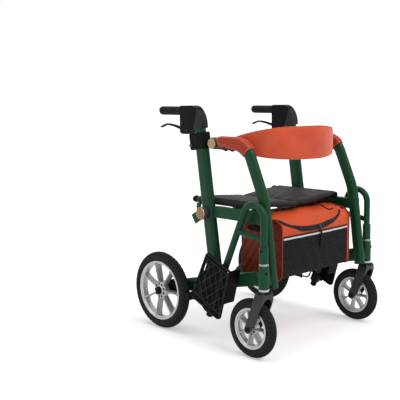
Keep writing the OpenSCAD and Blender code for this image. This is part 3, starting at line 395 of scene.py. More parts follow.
def lathe(name, profile, centre, axis, material, n, closed=False):
    """Profile of (radius, height along the axis) in mm, turned about the axis.

    A profile that isn't closed begins at the axis and is carried back to it at its last height.
    """
    axis = unit(axis)
    if not closed:
        profile = profile + [(0, profile[-1][1])]
    e1 = unit(np.cross(axis, (0.2, 0.3, 0.93)))
    e2 = np.cross(axis, e1)
    a = around(n)[:, None]
    spoke = np.cos(a) * e1 + np.sin(a) * e2
    rings = [np.asarray(centre) + max(r, AXIS_R) * MM * spoke + h * MM * axis for r, h in profile]
    return loft(name, rings, material, closed, 35)


def turned(name, profile, centre, axis, material, n, body, slot="black_plastic", closed=False):
    return put(lathe(name, profile, centre, axis, material, n, closed), body, slot)


def prism(name, outline, place, w0, w1, material, bevel=0.0, segments=3, angle=30):
    """An outline swept from w0 to w1; place turns (u, v, w) in mm into a point. Edges are rounded."""
    n = len(outline)
    verts = [place(u, v, w) for w in (w0, w1) for u, v in outline]
    faces = [tuple(range(n)), tuple(range(n, 2 * n))]
    faces += [(k, (k + 1) % n, n + (k + 1) % n, n + k) for k in range(n)]
    obj = new_piece(name, verts, faces, material, None)
    if bevel:
        soften(obj, bevel, segments, angle)
    return obj


def soften(obj, width, segments, angle):
    edge = obj.modifiers.new("edge", "BEVEL")
    edge.width = width * MM
    edge.segments = segments
    edge.limit_method = "ANGLE"
    edge.angle_limit = math.radians(angle)
    obj.modifiers.new("normals", "WEIGHTED_NORMAL").weight = 90


def freeze(obj):
    """Turns the modifiers into the mesh."""
    bpy.context.view_layer.update()
    done = bpy.data.meshes.new_from_object(obj.evaluated_get(bpy.context.evaluated_depsgraph_get()))
    obj.modifiers.clear()
    obj.data = done
    return obj


def common(obj, other, how="INTERSECT"):
    """What two closed pieces share, or what the second leaves of the first; the second is used up."""
    cut = obj.modifiers.new("common", "BOOLEAN")
    cut.operation = how
    cut.solver = "EXACT"
    cut.object = other
    freeze(obj)
    bpy.data.objects.remove(other)


def join(name, pieces):
    """One mesh from several pieces of one material."""
    work = bmesh.new()
    for piece in pieces:
        work.from_mesh(freeze(piece).data)
    mesh = bpy.data.meshes.new(name)
    work.to_mesh(mesh)
    work.free()
    mesh.materials.append(pieces[0].data.materials[0])
    for piece in pieces:
        bpy.data.objects.remove(piece)
    return add_object(name, mesh)


def stitches(name, path, ups, material, pitch, length, r, closed=False):
    """A row of thread stitches along a path on a surface with normals ups."""
    size = np.linalg.norm(np.diff(path, axis=0), axis=1).sum()
    count = max(2, int(size / (pitch * MM)))
    both = resample(np.hstack([path, np.broadcast_to(ups, np.shape(path))]), count, closed)
    place, up = both[:, :3], unit(both[:, 3:])
    along = tangents(place, closed)
    spans = np.array([-0.5, -0.32, 0.32, 0.5]) * length * MM
    fat = np.array([0.3, 1.0, 1.0, 0.3]) * r * MM
    verts, faces = [], []
    for p, t, u, w in zip(place, along, up, unit(np.cross(along, up))):
        k = len(verts)
        for span, radius in zip(spans, fat):
            for a in around(6):
                verts.append(p + span * t + radius * (math.cos(a) * u + math.sin(a) * w))
        faces += [tuple(k + i for i in f) for f in grid_faces(4, 6)]
        faces += [tuple(range(k, k + 6)), tuple(range(k + 18, k + 24))]
    return new_piece(name, verts, faces, material, None)


def rounded(outline, radii, steps=6):
    """An outline of corners with each corner rounded to its radius."""
    pts = [np.array(p, float) for p in outline]
    out = []
    for k, b in enumerate(pts):
        a, c = pts[k - 1], pts[(k + 1) % len(pts)]
        r = radii[k] if isinstance(radii, (list, tuple)) else radii
        va, vc = unit(a - b), unit(c - b)
        half = math.acos(max(-1, min(1, float(np.dot(va, vc))))) / 2
        cut = min(r / math.tan(half), 0.49 * np.linalg.norm(a - b), 0.49 * np.linalg.norm(c - b))
        for t in np.linspace(0, 1, steps):
            out.append((1 - t) ** 2 * (b + va * cut) + 2 * t * (1 - t) * b + t ** 2 * (b + vc * cut))
    return np.array(out)


def rolling(v, lo, hi):
    """Smooth step from 0 at lo to 1 at hi."""
    t = np.clip((np.asarray(v, float) - lo) / (hi - lo), 0, 1)
    return t * t * (3 - 2 * t)


def hill(v, middle, width):
    return np.exp(-((v - middle) / width) ** 2)


def inside(point, corners):
    """Whether a point lies within a convex outline that runs anticlockwise."""
    a = np.asarray(corners, float)
    along, to = np.roll(a, -1, 0) - a, np.asarray(point, float) - a
    return bool(np.all(along[:, 0] * to[:, 1] - along[:, 1] * to[:, 0] >= 0))


def surface_of(obj):
    """Nearest point and normal on a piece's mesh."""
    mesh = obj.data
    tree = BVHTree.FromPolygons([v.co.copy() for v in mesh.vertices],
                                [list(p.vertices) for p in mesh.polygons])

    def nearest(points, lift_mm):
        found = [tree.find_nearest(Vector(p))[:2] for p in points]
        ups = np.array([normal for _, normal in found])
        return np.array([place for place, _ in found]) + lift_mm * MM * ups, ups
    return nearest


# Bag under the seat: a sagging leather shell, quilted ends, a curved zip and a net pocket
BAG_HALF = 195.0
BAG_REAR, BAG_FRONT, BAG_LOW = 337, 522, 254
NEAR_DROP = 7.0
QUILT_F, QUILT_Z = 34.0, 48.0


def bag_piece(obj, slot="bag_cover", *replaced):
    put(obj, "frame_right", slot, *replaced)
    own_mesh(obj)
    return obj


def bag_section(lat):
    """Ring of (f, z) round the bag at one place across it: square at the ends, a sloping lid between."""
    w = float(rolling(BAG_HALF - abs(lat), 4, 70))
    hang = math.cos(math.pi * lat / (2 * BAG_HALF) * 0.96)
    end = np.array([(337, 254), (523, 254), (524, 438), (506, 461), (424, 477), (337, 475)], float)
    mid = np.array([(337, 256), (522, 256), (525, 424), (482, 453), (430, 474), (337, 470)], float)
    end[3:, 1] -= NEAR_DROP * (lat < 0)
    corners = end * (1 - w) + mid * w
    radii = [22, 24, 34 * (1 - w) + 18 * w, 40 * (1 - w) + 60 * w, 40 * (1 - w) + 46 * w, 14]
    ring = resample(rounded(corners, radii, 8), 120, True)
    f, z = ring[:, 0], ring[:, 1]
    face = rolling(f, 470, BAG_FRONT) * np.sin(np.pi * np.clip((z - BAG_LOW) / 178, 0, 1))
    ring[:, 0] += 5 * hang * face
    under = rolling(300 - z, 20, 44) * np.sin(np.pi * np.clip((f - BAG_REAR) / 186, 0, 1))
    ring[:, 1] -= 3 * hang * under
    top = rolling(z, 430, 452) * rolling(f, 350, 420) * (1 - rolling(f, 500, 520))
    ring[:, 1] += top * (1.6 * math.sin(lat * 0.031 + 0.6) + 1.2 * np.sin(f * 0.06 + lat * 0.05)) * w
    ring[:, 0] += 1.5 * rolling(f, 505, BAG_FRONT) * hill(z, 414, 16) * math.sin(lat * 0.085) * w
    return ring


lats = np.concatenate([[-BAG_HALF], np.linspace(-BAG_HALF + 3, BAG_HALF - 3, 79), [BAG_HALF]])
rings = [[at(lat, f, z) for f, z in bag_section(lat)] for lat in lats]
bag_shell = bag_piece(loft("bag_shell", rings, BAG, sharp=60), "bag_cover", "bag")
on_bag = surface_of(bag_shell)


def end_outline(s, count, inset=0.0):
    """Outline of an end panel as (f, z), drawn in by a percentage."""
    drop = NEAR_DROP * (s < 0)
    corners = [(335, 252), (524, 252), (525, 444), (506, 463 - drop), (424, 478 - drop), (335, 476 - drop)]
    ring = resample(rounded(corners, [24, 24, 34, 40, 40, 14], 8), count, True)
    centre = ring.mean(0)
    return centre + (ring - centre) * (1 - inset / 100)


def quilt(f, z):
    """Height of the diamond quilting in mm at a place on the end panel."""
    a, b = f / QUILT_F + z / QUILT_Z, f / QUILT_F - z / QUILT_Z
    puff = np.abs(np.sin(np.pi * a)) * np.abs(np.sin(np.pi * b))
    return 4.2 * puff ** 0.45


for side, s in SIDES:
    def panel_spots(line, out):
        return np.array([at(s * (BAG_HALF + out), f, z) for f, z in line])
    outline = end_outline(s, 300)
    centre = outline.mean(0)
    rings = [panel_spots(outline, -2)]
    for row in np.append(np.linspace(1.0, 0.06, 64), 0.0):
        ring = centre + (outline - centre) * max(row, 1e-4)
        puff = quilt(ring[:, 0], ring[:, 1]) + 4 * (1 - row ** 2)
        lift = 1.0 + puff * float(rolling(1 - row, 0, 0.10))
        rings.append([at(s * (BAG_HALF + h), f, z) for (f, z), h in zip(ring, lift)])
    panel = bag_piece(loft("bag_end_" + side, rings, BAG_SIDE, sharp=60))
    welt = panel_spots(outline, 0.4)
    front = np.flatnonzero((outline[:, 0] > 500) & (outline[:, 1] < 466))
    rest = np.arange(front[-1], front[0] + len(outline) + 1) % len(outline)
    bag_piece(tube("bag_piping_front_" + side, welt[front[0]:front[-1] + 1], 2.5, BAG_EDGE))
    bag_piece(tube("bag_piping_" + side, welt[rest], 2.4, BAG_SIDE))
    # stitches along the quilting's furrows
    on_panel = surface_of(panel)
    within = end_outline(s, 120, 9)
    seams = []
    for lean in (-1, 1):
        for n in range(-2, 27):
            line = [(QUILT_F * (n + lean * z / QUILT_Z), z) for z in np.linspace(250, 480, 116)]
            line = [q for q in line if inside(q, within)]
            if len(line) > 6:
                path, ups = on_panel(panel_spots(line, 5), 0.25)
                seams.append(stitches("seam", path, ups, THREAD_BROWN, 5.2, 3.8, 0.5))
    bag_piece(join("bag_quilt_stitches_" + side, seams))
    inner = panel_spots(end_outline(s, 300, 5), 3.4)
    bag_piece(stitches("bag_end_stitches_" + side, inner, (s, 0, 0), THREAD_DARK, 6, 4.2, 0.6, True))
    # plain oval patch on the end panel
    patch = [(404 + 36 * np.sign(math.cos(a)) * abs(math.cos(a)) ** 0.8, 424 + 11 * math.sin(a))
             for a in around(48)]
    bag_piece(prism("bag_patch_" + side, patch, lambda u, v, w: at(s * (BAG_HALF + w), u, v), 4, 9.5,
                    SOFT_BLACK, 1.6))

# zip along the lid's front edge; its cover is a soft ridge, full in the middle and thin at its ends
ZIP_COUNT = 160
zip_points = [(-190, 484, 463), (-186, 497, 460), (-176, 509, 451), (-155, 510, 441), (-129, 514, 432),
              (-109, 520, 427), (-84, 524, 422), (-57, 525, 419), (-27, 526, 418), (4, 526, 418),
              (36, 525, 420), (71, 522, 425), (99, 518, 428), (127, 512, 433), (150, 507, 442),
              (162, 503, 450), (166, 496, 457)]
zip_line, zip_up = on_bag(smooth_curve([at(*p) for p in zip_points], ZIP_COUNT), 0.6)
zip_over = unit(np.cross(tangents(zip_line), zip_up))
steps = np.arange(ZIP_COUNT)
zip_full = 0.3 + 0.7 * rolling(steps, -20, 15) * (1 - 0.8 * rolling(steps, 112, 160))
zip_level = zip_full[:, None] * MM
ridge = np.array([(-9.5, -1.5), (-9.5, 0.2), (-8, 2.2), (-4, 4.6), (0, 5.2), (4, 4.6), (8, 2.2),
                  (9.5, 0.2), (9.5, -1.5)])
bag_piece(sweep("bag_zip_cover", zip_line, ridge * zip_full[:, None, None], WEBBING, zip_up, sharp=50),
          "black_plastic")
for row, (across, lift) in enumerate(((-6.6, 3.3), (6.6, 3.3), (0, 5.4))):
    line = zip_line + zip_over * across * zip_level + zip_up * lift * zip_level
    bag_piece(stitches("bag_zip_stitches_%d" % row, line[6:-6], zip_up[6:-6], THREAD_DARK, 4.2, 2.8, 0.5),
              "black_plastic")
for name, across in (("a", -10.5), ("b", 10.5)):
    lip = on_bag(zip_line + zip_over * across * zip_level, 0.3)[0]
    bag_piece(tube("bag_zip_lip_" + name, lip, 1.3, BAG, 8))
PULL_COUNT = 24
pull = smooth_curve([at(8, 532, 414), at(8, 537, 402), at(7, 538, 384), at(5, 537, 340)], PULL_COUNT)
widen = np.interp(np.arange(PULL_COUNT), [0, 9, 18, 23], [0.7, 1.0, 1.3, 0.4])[:, None]
tassel = box(4.5, 1, 0.8)
tassel = np.stack([tassel[None, :, 0] * widen, tassel[None, :, 1] * (0.6 + widen)], -1)
bag_piece(sweep("bag_zip_pull", pull, tassel, SOFT_BLACK, AHEAD), "black_plastic")
bag_piece(prism("bag_zip_slider", rounded([(0, -9), (7, -8), (7, 7), (0, 9)], 2.5),
                lambda u, v, w: at(8 + w, 528 + u, 417 + v), -5, 5, KNOB_GREY, 1.2), "black_plastic")

# net pocket on the front, with a bound edge and a reflective strip along its mouth
POCKET = (-189.0, 181.0, 238.0, 393.0)
POCKET_F, POCKET_TUCK, TUCK_SLOPE = 540, 262.0, 2.2
pocket_lats = np.linspace(POCKET[0], POCKET[1], 93)
pocket_zs = np.linspace(POCKET[2], POCKET[3], 33)


def pocket_spot(lat, z):
    """Place before the pocket; below POCKET_TUCK it runs back under the bag."""
    return at(lat, POCKET_F - TUCK_SLOPE * max(0.0, POCKET_TUCK - z), z)


def pocket_point(lat, z, lift):
    """Place on the pocket's loose cloth, lifted off it in mm."""
    u = (lat - POCKET[0]) / (POCKET[1] - POCKET[0])
    v = (z - POCKET[2]) / (POCKET[3] - POCKET[2])
    loose = 0.8 + 3.2 * math.sin(math.pi * u) ** 0.5 * math.sin(math.pi * min(1, v * 0.85 + 0.1)) \
        + 0.5 * math.sin(lat * 0.11 + z * 0.05) * math.sin(math.pi * u)
    return on_bag([pocket_spot(lat, z)], loose + lift)[0][0]


cloth = np.array([[pocket_point(lat, z, 0) for lat in pocket_lats] for z in pocket_zs])
pocket = new_piece("bag_pocket", cloth, grid_faces(33, 93, False), SOFT_BLACK, None)
thick = pocket.modifiers.new("thick", "SOLIDIFY")
thick.thickness = 0.0007
thick.offset = -1
bag_piece(freeze(pocket), "black_plastic")
# the net is a lattice of diamonds over the pocket's cloth
knots = np.array([[pocket_point(lat, z, 0.7) for lat in pocket_lats[::2]] for z in pocket_zs])
m, n = knots.shape[:2]
diamonds = [((i - 1) * n + j, i * n + j + 1, (i + 1) * n + j, i * n + j - 1)
            for i in range(1, m - 1) for j in range(1, n - 1) if (i + j) % 2]
net = new_piece("bag_net", knots, diamonds, NET, None)
wire = net.modifiers.new("wire", "WIREFRAME")
wire.thickness = 0.0013
wire.use_even_offset = False
wire.use_replace = True
bag_piece(freeze(net), "black_plastic")
mouth = np.array([pocket_point(lat, POCKET[3], 0.8) for lat in pocket_lats])
flat = box(3.2, 0.8, 0.6)
bag_piece(sweep("bag_mouth_tape", mouth + (0, 0, 0.0085), flat, WEBBING, AHEAD), "black_plastic")
bag_piece(sweep("bag_reflective_strip", mouth + (0, -0.0006, 0.003), flat, REFLECTIVE, AHEAD))
rim_spots = [pocket_spot(POCKET[0], z) for z in pocket_zs[::-1]]
rim_spots += [pocket_spot(lat, POCKET[2]) for lat in pocket_lats]
rim_spots += [pocket_spot(POCKET[1], z) for z in pocket_zs]
bound, bound_up = on_bag(rim_spots, 1.2)
bag_piece(sweep("bag_pocket_binding", bound, flat * (0.9, 1.2), WEBBING, bound_up), "black_plastic")

# coil of the lid's rear zip, seen along its far edge, and the bag's hanging straps
for row, (lat0, lat1, f0, f1) in enumerate(((-150, 182, 400, 400), (184, 185, 396, 506))):
    coil = [at(lat0, f0, 475), at((lat0 + lat1) / 2, (f0 + f1) / 2, 475), at(lat1, f1, 475)]
    line, line_up = on_bag(smooth_curve(coil, 60), 0.8)
    bag_piece(stitches("bag_lid_coil_%d" % row, line, line_up, BLACK, 11, 6.6, 2.4), "black_plastic")
loop_spots = [at(133, 429, 474), at(138, 441, 470), at(137, 458, 464), at(144, 470, 460), at(159, 475, 462)]
loop_line = on_bag(smooth_curve(loop_spots, 30), 2.0)[0]
bag_piece(tube("bag_cord_loop", loop_line, 1.9, WEBBING, 8), "black_plastic")
for side, s in SIDES:
    for k, f in enumerate((366, 404)):
        strap = smooth_curve([at(s * 190, f, 452), at(s * 200, f, 463), at(s * 222, f, 463.5),
                              at(s * 242.8, f, 463.5)], 20)
        bag_piece(sweep("bag_strap_%s_%d" % (side, k), strap, box(12.5, 1.2, 0.9), WEBBING,
                        (-s * 0.3, 0, 1.0)), "black_plastic")


# Seat: one padded cover over both tubes, creased along the middle
SEAT_HALF, SEAT_F0, SEAT_F1 = 236.0, 140.0, 441.0
SEAT_FLAT_LAT, SEAT_Z = 214, 520.0
SEAT_TUBE_LAT, SEAT_TUBE_Z = 222, 505


def seat_top(lat, f):
    a = abs(lat)
    slope = SEAT_Z - 18.5 + 18.5 * min(1.0, a / SEAT_FLAT_LAT) ** 1.05
    drop = -15 * rolling(a, 222, SEAT_HALF + 3)
    u = math.sin(math.pi * (f - SEAT_F0) / (SEAT_F1 - SEAT_F0))
    puff = 3.4 * math.sin(math.pi * min(1, a / 205)) * u ** 0.5
    folds = 1.5 * hill(a, 0, 46) * math.sin(f * 0.105 + 0.02 * lat) \
        + 0.9 * hill(a, 30, 60) * math.sin(f * 0.061 + lat * 0.055)
    return slope + drop + puff + folds * u ** 0.3 - 5.5 * hill(lat, 0, 5.5)


def seat_ring(lat):
    """Ring of (f, z) round the seat at one place across it, with a fat front and rear roll."""
    a = abs(lat)
    thick = 12.5 + 4.5 * math.sin(math.pi * min(1, a / SEAT_FLAT_LAT)) - 4 * hill(lat, 0, 9)
    pinch = 3.5 * hill(lat, 0, 14)
    f0, f1 = SEAT_F0 + pinch, SEAT_F1 - 2 * pinch
    ring = []
    for f in np.linspace(f0, f1, 61):
        ring.append((f, seat_top(lat, f) - 7.5 * (1 - rolling(min(f - f0, f1 - f), -3, 11))))
    for f in np.linspace(f1, f0, 61):
        edge = min(f - f0, f1 - f)
        roll = 1.5 * rolling(26 - abs(edge - 9), 0, 22)
        low = seat_top(lat, f) - 2 - (thick + roll) * rolling(edge, -6, 8)
        ring.append((f, max(low, 495.2) if a > 196 else low))
    return ring


def seat_piece(obj, slot="seat_fabric", *replaced):
    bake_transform(obj)
    if replaced:
        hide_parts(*replaced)


def seat_stitches(name, spots):
    path, ups = on_seat([at(lat, f, seat_top(lat, f)) for lat, f in spots], 0.35)
    seat_piece(stitches("seat_stitches_" + name, path, ups, THREAD_DARK, 5, 3.6, 0.6))


seat_lats = np.concatenate([np.linspace(-SEAT_HALF, -212, 13), np.linspace(-208, 208, 97),
                            np.linspace(212, SEAT_HALF, 13)])
rings = [[at(lat, f, z) for f, z in seat_ring(lat)] for lat in seat_lats]
seat = loft("seat_cover", rings, SEAT, sharp=None)
on_seat = surface_of(seat)
soft = seat.modifiers.new("soft", "SUBSURF")
soft.levels = soft.render_levels = 1
seat_piece(freeze(seat), "seat_fabric", "seat_half_right", "seat_half_left")
SEAM_F0, SEAM_F1 = SEAT_F0 + 17, SEAT_F1 - 17
for name, f in (("front", SEAM_F1), ("rear", SEAM_F0)):
    seat_stitches(name, [(lat, f) for lat in np.linspace(-206, 206, 90)])
rear_cap = [(0, -9), (6, -8.6), (10.2, -6), (11.8, -2), (11.8, 3), (13.0, 3.6), (13.0, 7), (11.4, 8),
            (11.4, 16)]
front_cap = [(0, -3.5), (8, -3.3), (12.0, -1.6), (13.2, 1.5), (13.2, 12), (12, 13)]
for side, s in SIDES:
    for k, lat in enumerate((204, 14)):
        seat_stitches("%s_%d" % (side, k), [(s * lat, f) for f in np.linspace(SEAM_F0, SEAM_F1, 60)])
    for k, (f, out, cap) in enumerate(((120, 1, rear_cap), (440, -1, front_cap))):
        turned("seat_tube_cap_%s_%d" % (side, k), cap, at(s * SEAT_TUBE_LAT, f, SEAT_TUBE_Z), (0, -out, 0),
               BLACK, 40, "brace_b" if s < 0 else "brace_a")


# Backrest: a stiff leather band from pivot to pivot
BAND_R, BAND_F = 225.8, 304.0
FAR_NARROW = 9.0
DISC_LAT, DISC_F = 271.6, 264


def band_piece(obj, slot="tan_leather", *replaced):
    put(obj, "backrest", slot, *replaced)
    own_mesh(obj)


band_path = [(-BAND_R, f) for f in np.linspace(250, BAND_F - 2, 12)]
band_path += [(-BAND_R * math.cos(a), BAND_F + BAND_R * math.sin(a)) for a in np.linspace(0, math.pi, 121)]
band_path += [(BAND_R, f) for f in np.linspace(BAND_F - 2, 250, 12)]
band_path = np.array(band_path)
rings, band_top, band_low = [], [], []
for k, ((lat, f), (tl, tf)) in enumerate(zip(band_path, tangents(band_path))):
    t = min(1, max(0, (f - BAND_F) / (BAND_R + 2.5)))
    half, mid = 15 + 43 * math.sin(math.pi / 2 * t), ARM_Z + 5 * t
    half *= 0.55 + 0.45 * float(rolling(min(k, len(band_path) - 1 - k), -1, 7))
    far = rolling(lat, -10, 0.6 * BAND_R) * (1 - rolling(lat, 0.86 * BAND_R, BAND_R))
    half -= FAR_NARROW * float(far)
    ring = []
    for face in (1, -1):
        for v in np.linspace(-1, 1, 25) * face:
            edge = math.sqrt(max(0.0, 1 - abs(v) ** 14))
            w = face * 2.5 * edge + 1.6 * (1 - v * v) * (1 if face > 0 else 0.4)
            ring.append(at(lat - tf * w, f + tl * w, mid + v * half))
    rings.append(ring)
    band_top.append(at(lat, f, mid + half))
    band_low.append(at(lat, f, mid - half))
band_piece(loft("backrest_band_leather", rings, TAN, sharp=50), "tan_leather", "backrest_band")
for name, line in (("top", band_top), ("low", band_low)):
    band_piece(sweep("backrest_edge_" + name, line, box(2.0, 1.1, 1.0, 4), TAN_EDGE, UP))
rivet = [(0, 4.6), (2.6, 4.4), (4.4, 3.2), (5.0, 1.6), (5.0, 0)]
cap = [(0, 7.0), (8, 6.8), (14, 6.4), (17.4, 5.8), (17.6, 5.0), (17.6, 0)]
cap_ring = [(17.5, 0), (19.0, 0), (19.0, 5.2), (18.6, 6.0), (18.0, 6.1), (17.5, 5.6)]
for side, s in SIDES:
    for k, f in enumerate((262, 282)):
        band_piece(lathe("backrest_rivet_%s_%d" % (side, k), rivet, at(s * (BAND_R - 2), f, ARM_Z),
                         (-s, 0, 0), BROWN, 24), "black_plastic")
    body = "backrest" if s < 0 else "backrest_arm_left"
    spot = at(s * DISC_LAT, DISC_F, ARM_Z)
    turned("armrest_disc_" + side, cap, spot, (s, 0, 0), COPPER, 72, body, "copper_cap")
    turned("armrest_disc_edge_" + side, cap_ring, spot, (s, 0, 0), COPPER_EDGE, 72, body, "copper_cap",
           True)


# Armrest sleeves: leather folded over the tube, hemmed, stitched and strapped below
LEAN = math.radians(23.5)
BEND_R, CORNER_F = 75.0, 416.0
SLEEVE_F0, SLEEVE_SHORT = 284.5, 24.0
TURN = math.pi / 2 - LEAN
REACH = BEND_R * math.tan(TURN / 2)
SNAP_OUT = 0.0238


def arm_path(count):
    """(f, z) along the armrest tube's middle, from behind the sleeve round the bend."""
    pts = [(f, ARM_Z) for f in np.linspace(SLEEVE_F0, CORNER_F - REACH, 24)]
    for a in np.linspace(0, TURN - SLEEVE_SHORT / BEND_R, 24)[1:]:
        pts.append((CORNER_F - REACH + BEND_R * math.sin(a), ARM_Z - BEND_R * (1 - math.cos(a))))
    return resample(pts, count)


def leather_over(angle, fat):
    """Height of the leather over the tube: a padded flat top with a stitched ridge on each side."""
    ridge = 2.2 * hill(abs(angle), 0.82, 0.17)
    return 2.2 + fat * (0.5 + 0.5 * max(0, math.cos(angle))) + ridge * fat / 3.2


arm = arm_path(64)
arm_along = tangents(arm)
arm_last = len(arm) - 1
snap = [(0, 2.6), (3.0, 2.4), (4.6, 1.2), (4.8, 0)]
for side, s in SIDES:
    def spot(k, angle, grow):
        """Place over the tube's section, at an angle from its top."""
        (f, z), (tf, tz) = arm[k], arm_along[k]
        r = 15 + grow
        up = 6.5 * min(1.0, max(-1.0, math.cos(angle) / 0.35)) + r * math.cos(angle)
        return at(s * (SIDE_LAT + r * math.sin(angle)), f - tz * up, z + tf * up)
    body = "frame_" + side
    rings, hems = [], [[], []]
    rows, row_ups = [[], [], [], []], [[], [], [], []]
    for k in range(len(arm)):
        open_to = math.radians(101 + 49 * float(rolling(k / arm_last, 0.15, 1.0))
                               - 34 * float(1 - rolling(k, 0, 7)) ** 2)
        angles = np.linspace(-open_to, open_to, 61)
        fat = 3.2 * float(rolling(min(k, arm_last - k), -2, 5))
        ring = [spot(k, a, leather_over(a, fat) + 0.35 * math.sin(a * 7 + k * 0.9) * (abs(a) > 1.1))
                for a in angles]
        rings.append(ring + [spot(k, a, 0.5) for a in angles[::-1]])
        hems[0].append(spot(k, -open_to, 1.8))
        hems[1].append(spot(k, open_to, 1.8))
        for n, a in enumerate((-0.62, 0.62, -open_to + 0.22, open_to - 0.22)):
            rows[n].append(spot(k, a, leather_over(a, fat) + 0.3))
            row_ups[n].append(spot(k, a, 8.0) - spot(k, a, 0.0))
    sleeve = loft("armrest_sleeve_" + side, rings, SLEEVE, sharp=50)
    put(sleeve, body, "tan_leather", "armrest_pad_" + side)
    for n, line in enumerate(hems):
        put(tube("armrest_hem_%s_%d" % (side, n), line, 2.1, TAN_EDGE, 8), body, "tan_leather")
    for n, (row, ups) in enumerate(zip(rows, row_ups)):
        put(stitches("armrest_stitches_%s_%d" % (side, n), np.array(row)[3:-3], np.array(ups)[3:-3],
                     THREAD_PALE, 6.0, 4.4, 0.9), body, "tan_leather")
    for n, k in enumerate((0, arm_last)):
        put(tube("armrest_end_hem_%s_%d" % (side, n), rings[k][:61], 1.5, TAN_EDGE, 8), body, "tan_leather")
    # straps that close the sleeve under the tube, each with a snap
    for n, k in enumerate((13, 27)):
        band = np.array([spot(k, a, 1.6) for a in np.radians(np.linspace(92, 268, 31))])
        middle = at(s * SIDE_LAT, *arm[k])
        put(sweep("armrest_strap_%s_%d" % (side, n), band, box(8, 0.9, 0.7), BROWN, band - middle), body,
            "tan_leather")
        down = np.array((0.0, arm_along[k][1], -arm_along[k][0]))
        turned("armrest_snap_%s_%d" % (side, n), snap, middle + down * SNAP_OUT, down, KNOB_GREY, 20, body,
               "bright_steel")
    put(prism("armrest_plug_" + side, box(21, 15, 14.9, 10),
              lambda u, v, w: at(s * (SIDE_LAT + v), w, ARM_Z + u), 247.5, 251.8, BLACK, 1.6), body)


# Wheels
def tyre(name, centre, s, d, width, rim_d, blocks):
    """Air tyre: round section with bead, ribbed shoulder sipes and two grooves."""
    phi = np.radians(np.concatenate([np.linspace(-122, -80, 8)[:-1], np.linspace(-80, 80, 61),
                                     np.linspace(80, 122, 8)[1:]]))
    theta = around(blocks * 10)
    ph, th = np.meshgrid(phi, theta)
    slant = th * blocks / (2 * np.pi) + 0.9 * np.abs(ph)
    sipe = 1 - rolling(np.abs((slant % 1.0) - 0.5), 0.09, 0.17)
    zone = rolling(np.abs(ph), 0.34, 0.42) * (1 - rolling(np.abs(ph), 1.12, 1.22))
    groove = 1 - rolling(np.abs(np.abs(ph) - 0.27), 0.02, 0.05)
    line = 1 - rolling(np.abs(np.abs(ph) - 1.62), 0.02, 0.06)
    depth = np.maximum(3.0 * sipe * zone, 1.8 * groove) - 0.6 * line
    half = width / 2
    r = d / 2 - half + (half - depth) * np.cos(ph)
    h = (half - depth) * np.sin(ph) * 0.985
    bead = np.array([(3.0, half - 2.6), (0.4, half - 5.5), (0.3, 0), (0.4, 5.5 - half), (3.0, 2.6 - half)])
    r = np.hstack([r, np.tile(rim_d / 2 + bead[:, 0], (len(theta), 1))])
    h = np.hstack([h, np.tile(bead[:, 1], (len(theta), 1))])
    th = np.tile(theta[:, None], (1, r.shape[1]))
    pts = np.stack([s * h, r * np.cos(th), r * np.sin(th)], -1) * MM + centre
    return loft(name, pts, TYRE, True, sharp=None)


def blade(centre, s, angle, r0, r1, deep):
    """One spoke: thin across the wheel's face, deep along the axle, wider at the rim."""
    rings = []
    for t in np.linspace(0, 1, 12):
        r = r0 + (r1 - r0) * t
        flare = 3.0 * max(0, 1 - t * 5) + 5.0 * max(0, t * 5 - 4) ** 2
        wide, thin = 13.0 + (deep - 13.0) * t ** 0.8, 3.4 - 0.6 * t + flare
        ring = []
        for a in around(20):
            u = np.sign(math.cos(a)) * abs(math.cos(a)) ** 0.55 * wide
            v = np.sign(math.sin(a)) * abs(math.sin(a)) ** 0.55 * thin
            ring.append((s * u, r * math.cos(angle) - v * math.sin(angle),
                         r * math.sin(angle) + v * math.cos(angle)))
        rings.append(centre + MM * np.array(ring))
    # The blade takes the darker silver: painted shade.
    return loft("blade", rings, BLADE, sharp=60)


BLADES, SCREW_OUT = 7, 12.4


def rim(name, centre, s, d, half, hub_r, hub_half, bore, flange_r):
    """Cast rim: dropped barrel with bright lips, a hub and its flange; and its seven blades, in a darker
    silver that paints their shade.
    """
    r = d / 2
    lip = [(r - 0.4, half), (r + 0.6, half + 1.2), (r - 1.0, half + 2.6), (r - 5.0, half + 2.6),
           (r - 6.4, half + 1.6), (r - 7.4, half - 1.0), (r - 11.0, half - 3.0), (r - 12.4, half - 7)]
    barrel = lip + [(r - 13, 0)] + [(a, -h) for a, h in lip[::-1]]
    hub = [(bore, -hub_half), (hub_r - 1.5, -hub_half), (hub_r, -hub_half + 1.5), (hub_r, -12),
           (flange_r - 3, -11), (flange_r, -9.5), (flange_r, 9.5), (flange_r - 2, 11.5),
           (flange_r - 5, 11.8), (hub_r + 1, 10.2), (hub_r, 11.4), (hub_r - 1, hub_half - 2),
           (hub_r - 3, hub_half), (bore, hub_half)]
    cast = [lathe("barrel", barrel, centre, (s, 0, 0), SILVER, 128, True),
            lathe("hub", hub, centre, (s, 0, 0), SILVER, 64, True)]
    blades = [blade(centre, s, angle, flange_r - 7, r - 11.5, half + 1.2)
              for angle in around(BLADES, math.pi / BLADES)]
    return join(name, cast), join(name.replace("cast", "blades"), blades)


def sockets(name, centre, s, r, count, size):
    """Ring of dark screws with hollow heads on the hub's flange."""
    head = [(0, 0.4), (size * 0.5, 0.4), (size * 0.55, 1.6), (size * 0.9, 1.8), (size, 1.2), (size, -1.5)]
    spots = [centre + MM * np.array((s * SCREW_OUT, r * math.cos(a), r * math.sin(a)))
             for a in around(count)]
    return join(name, [lathe("socket", head, spot, (s, 0, 0), SOFT_BLACK, 14) for spot in spots])


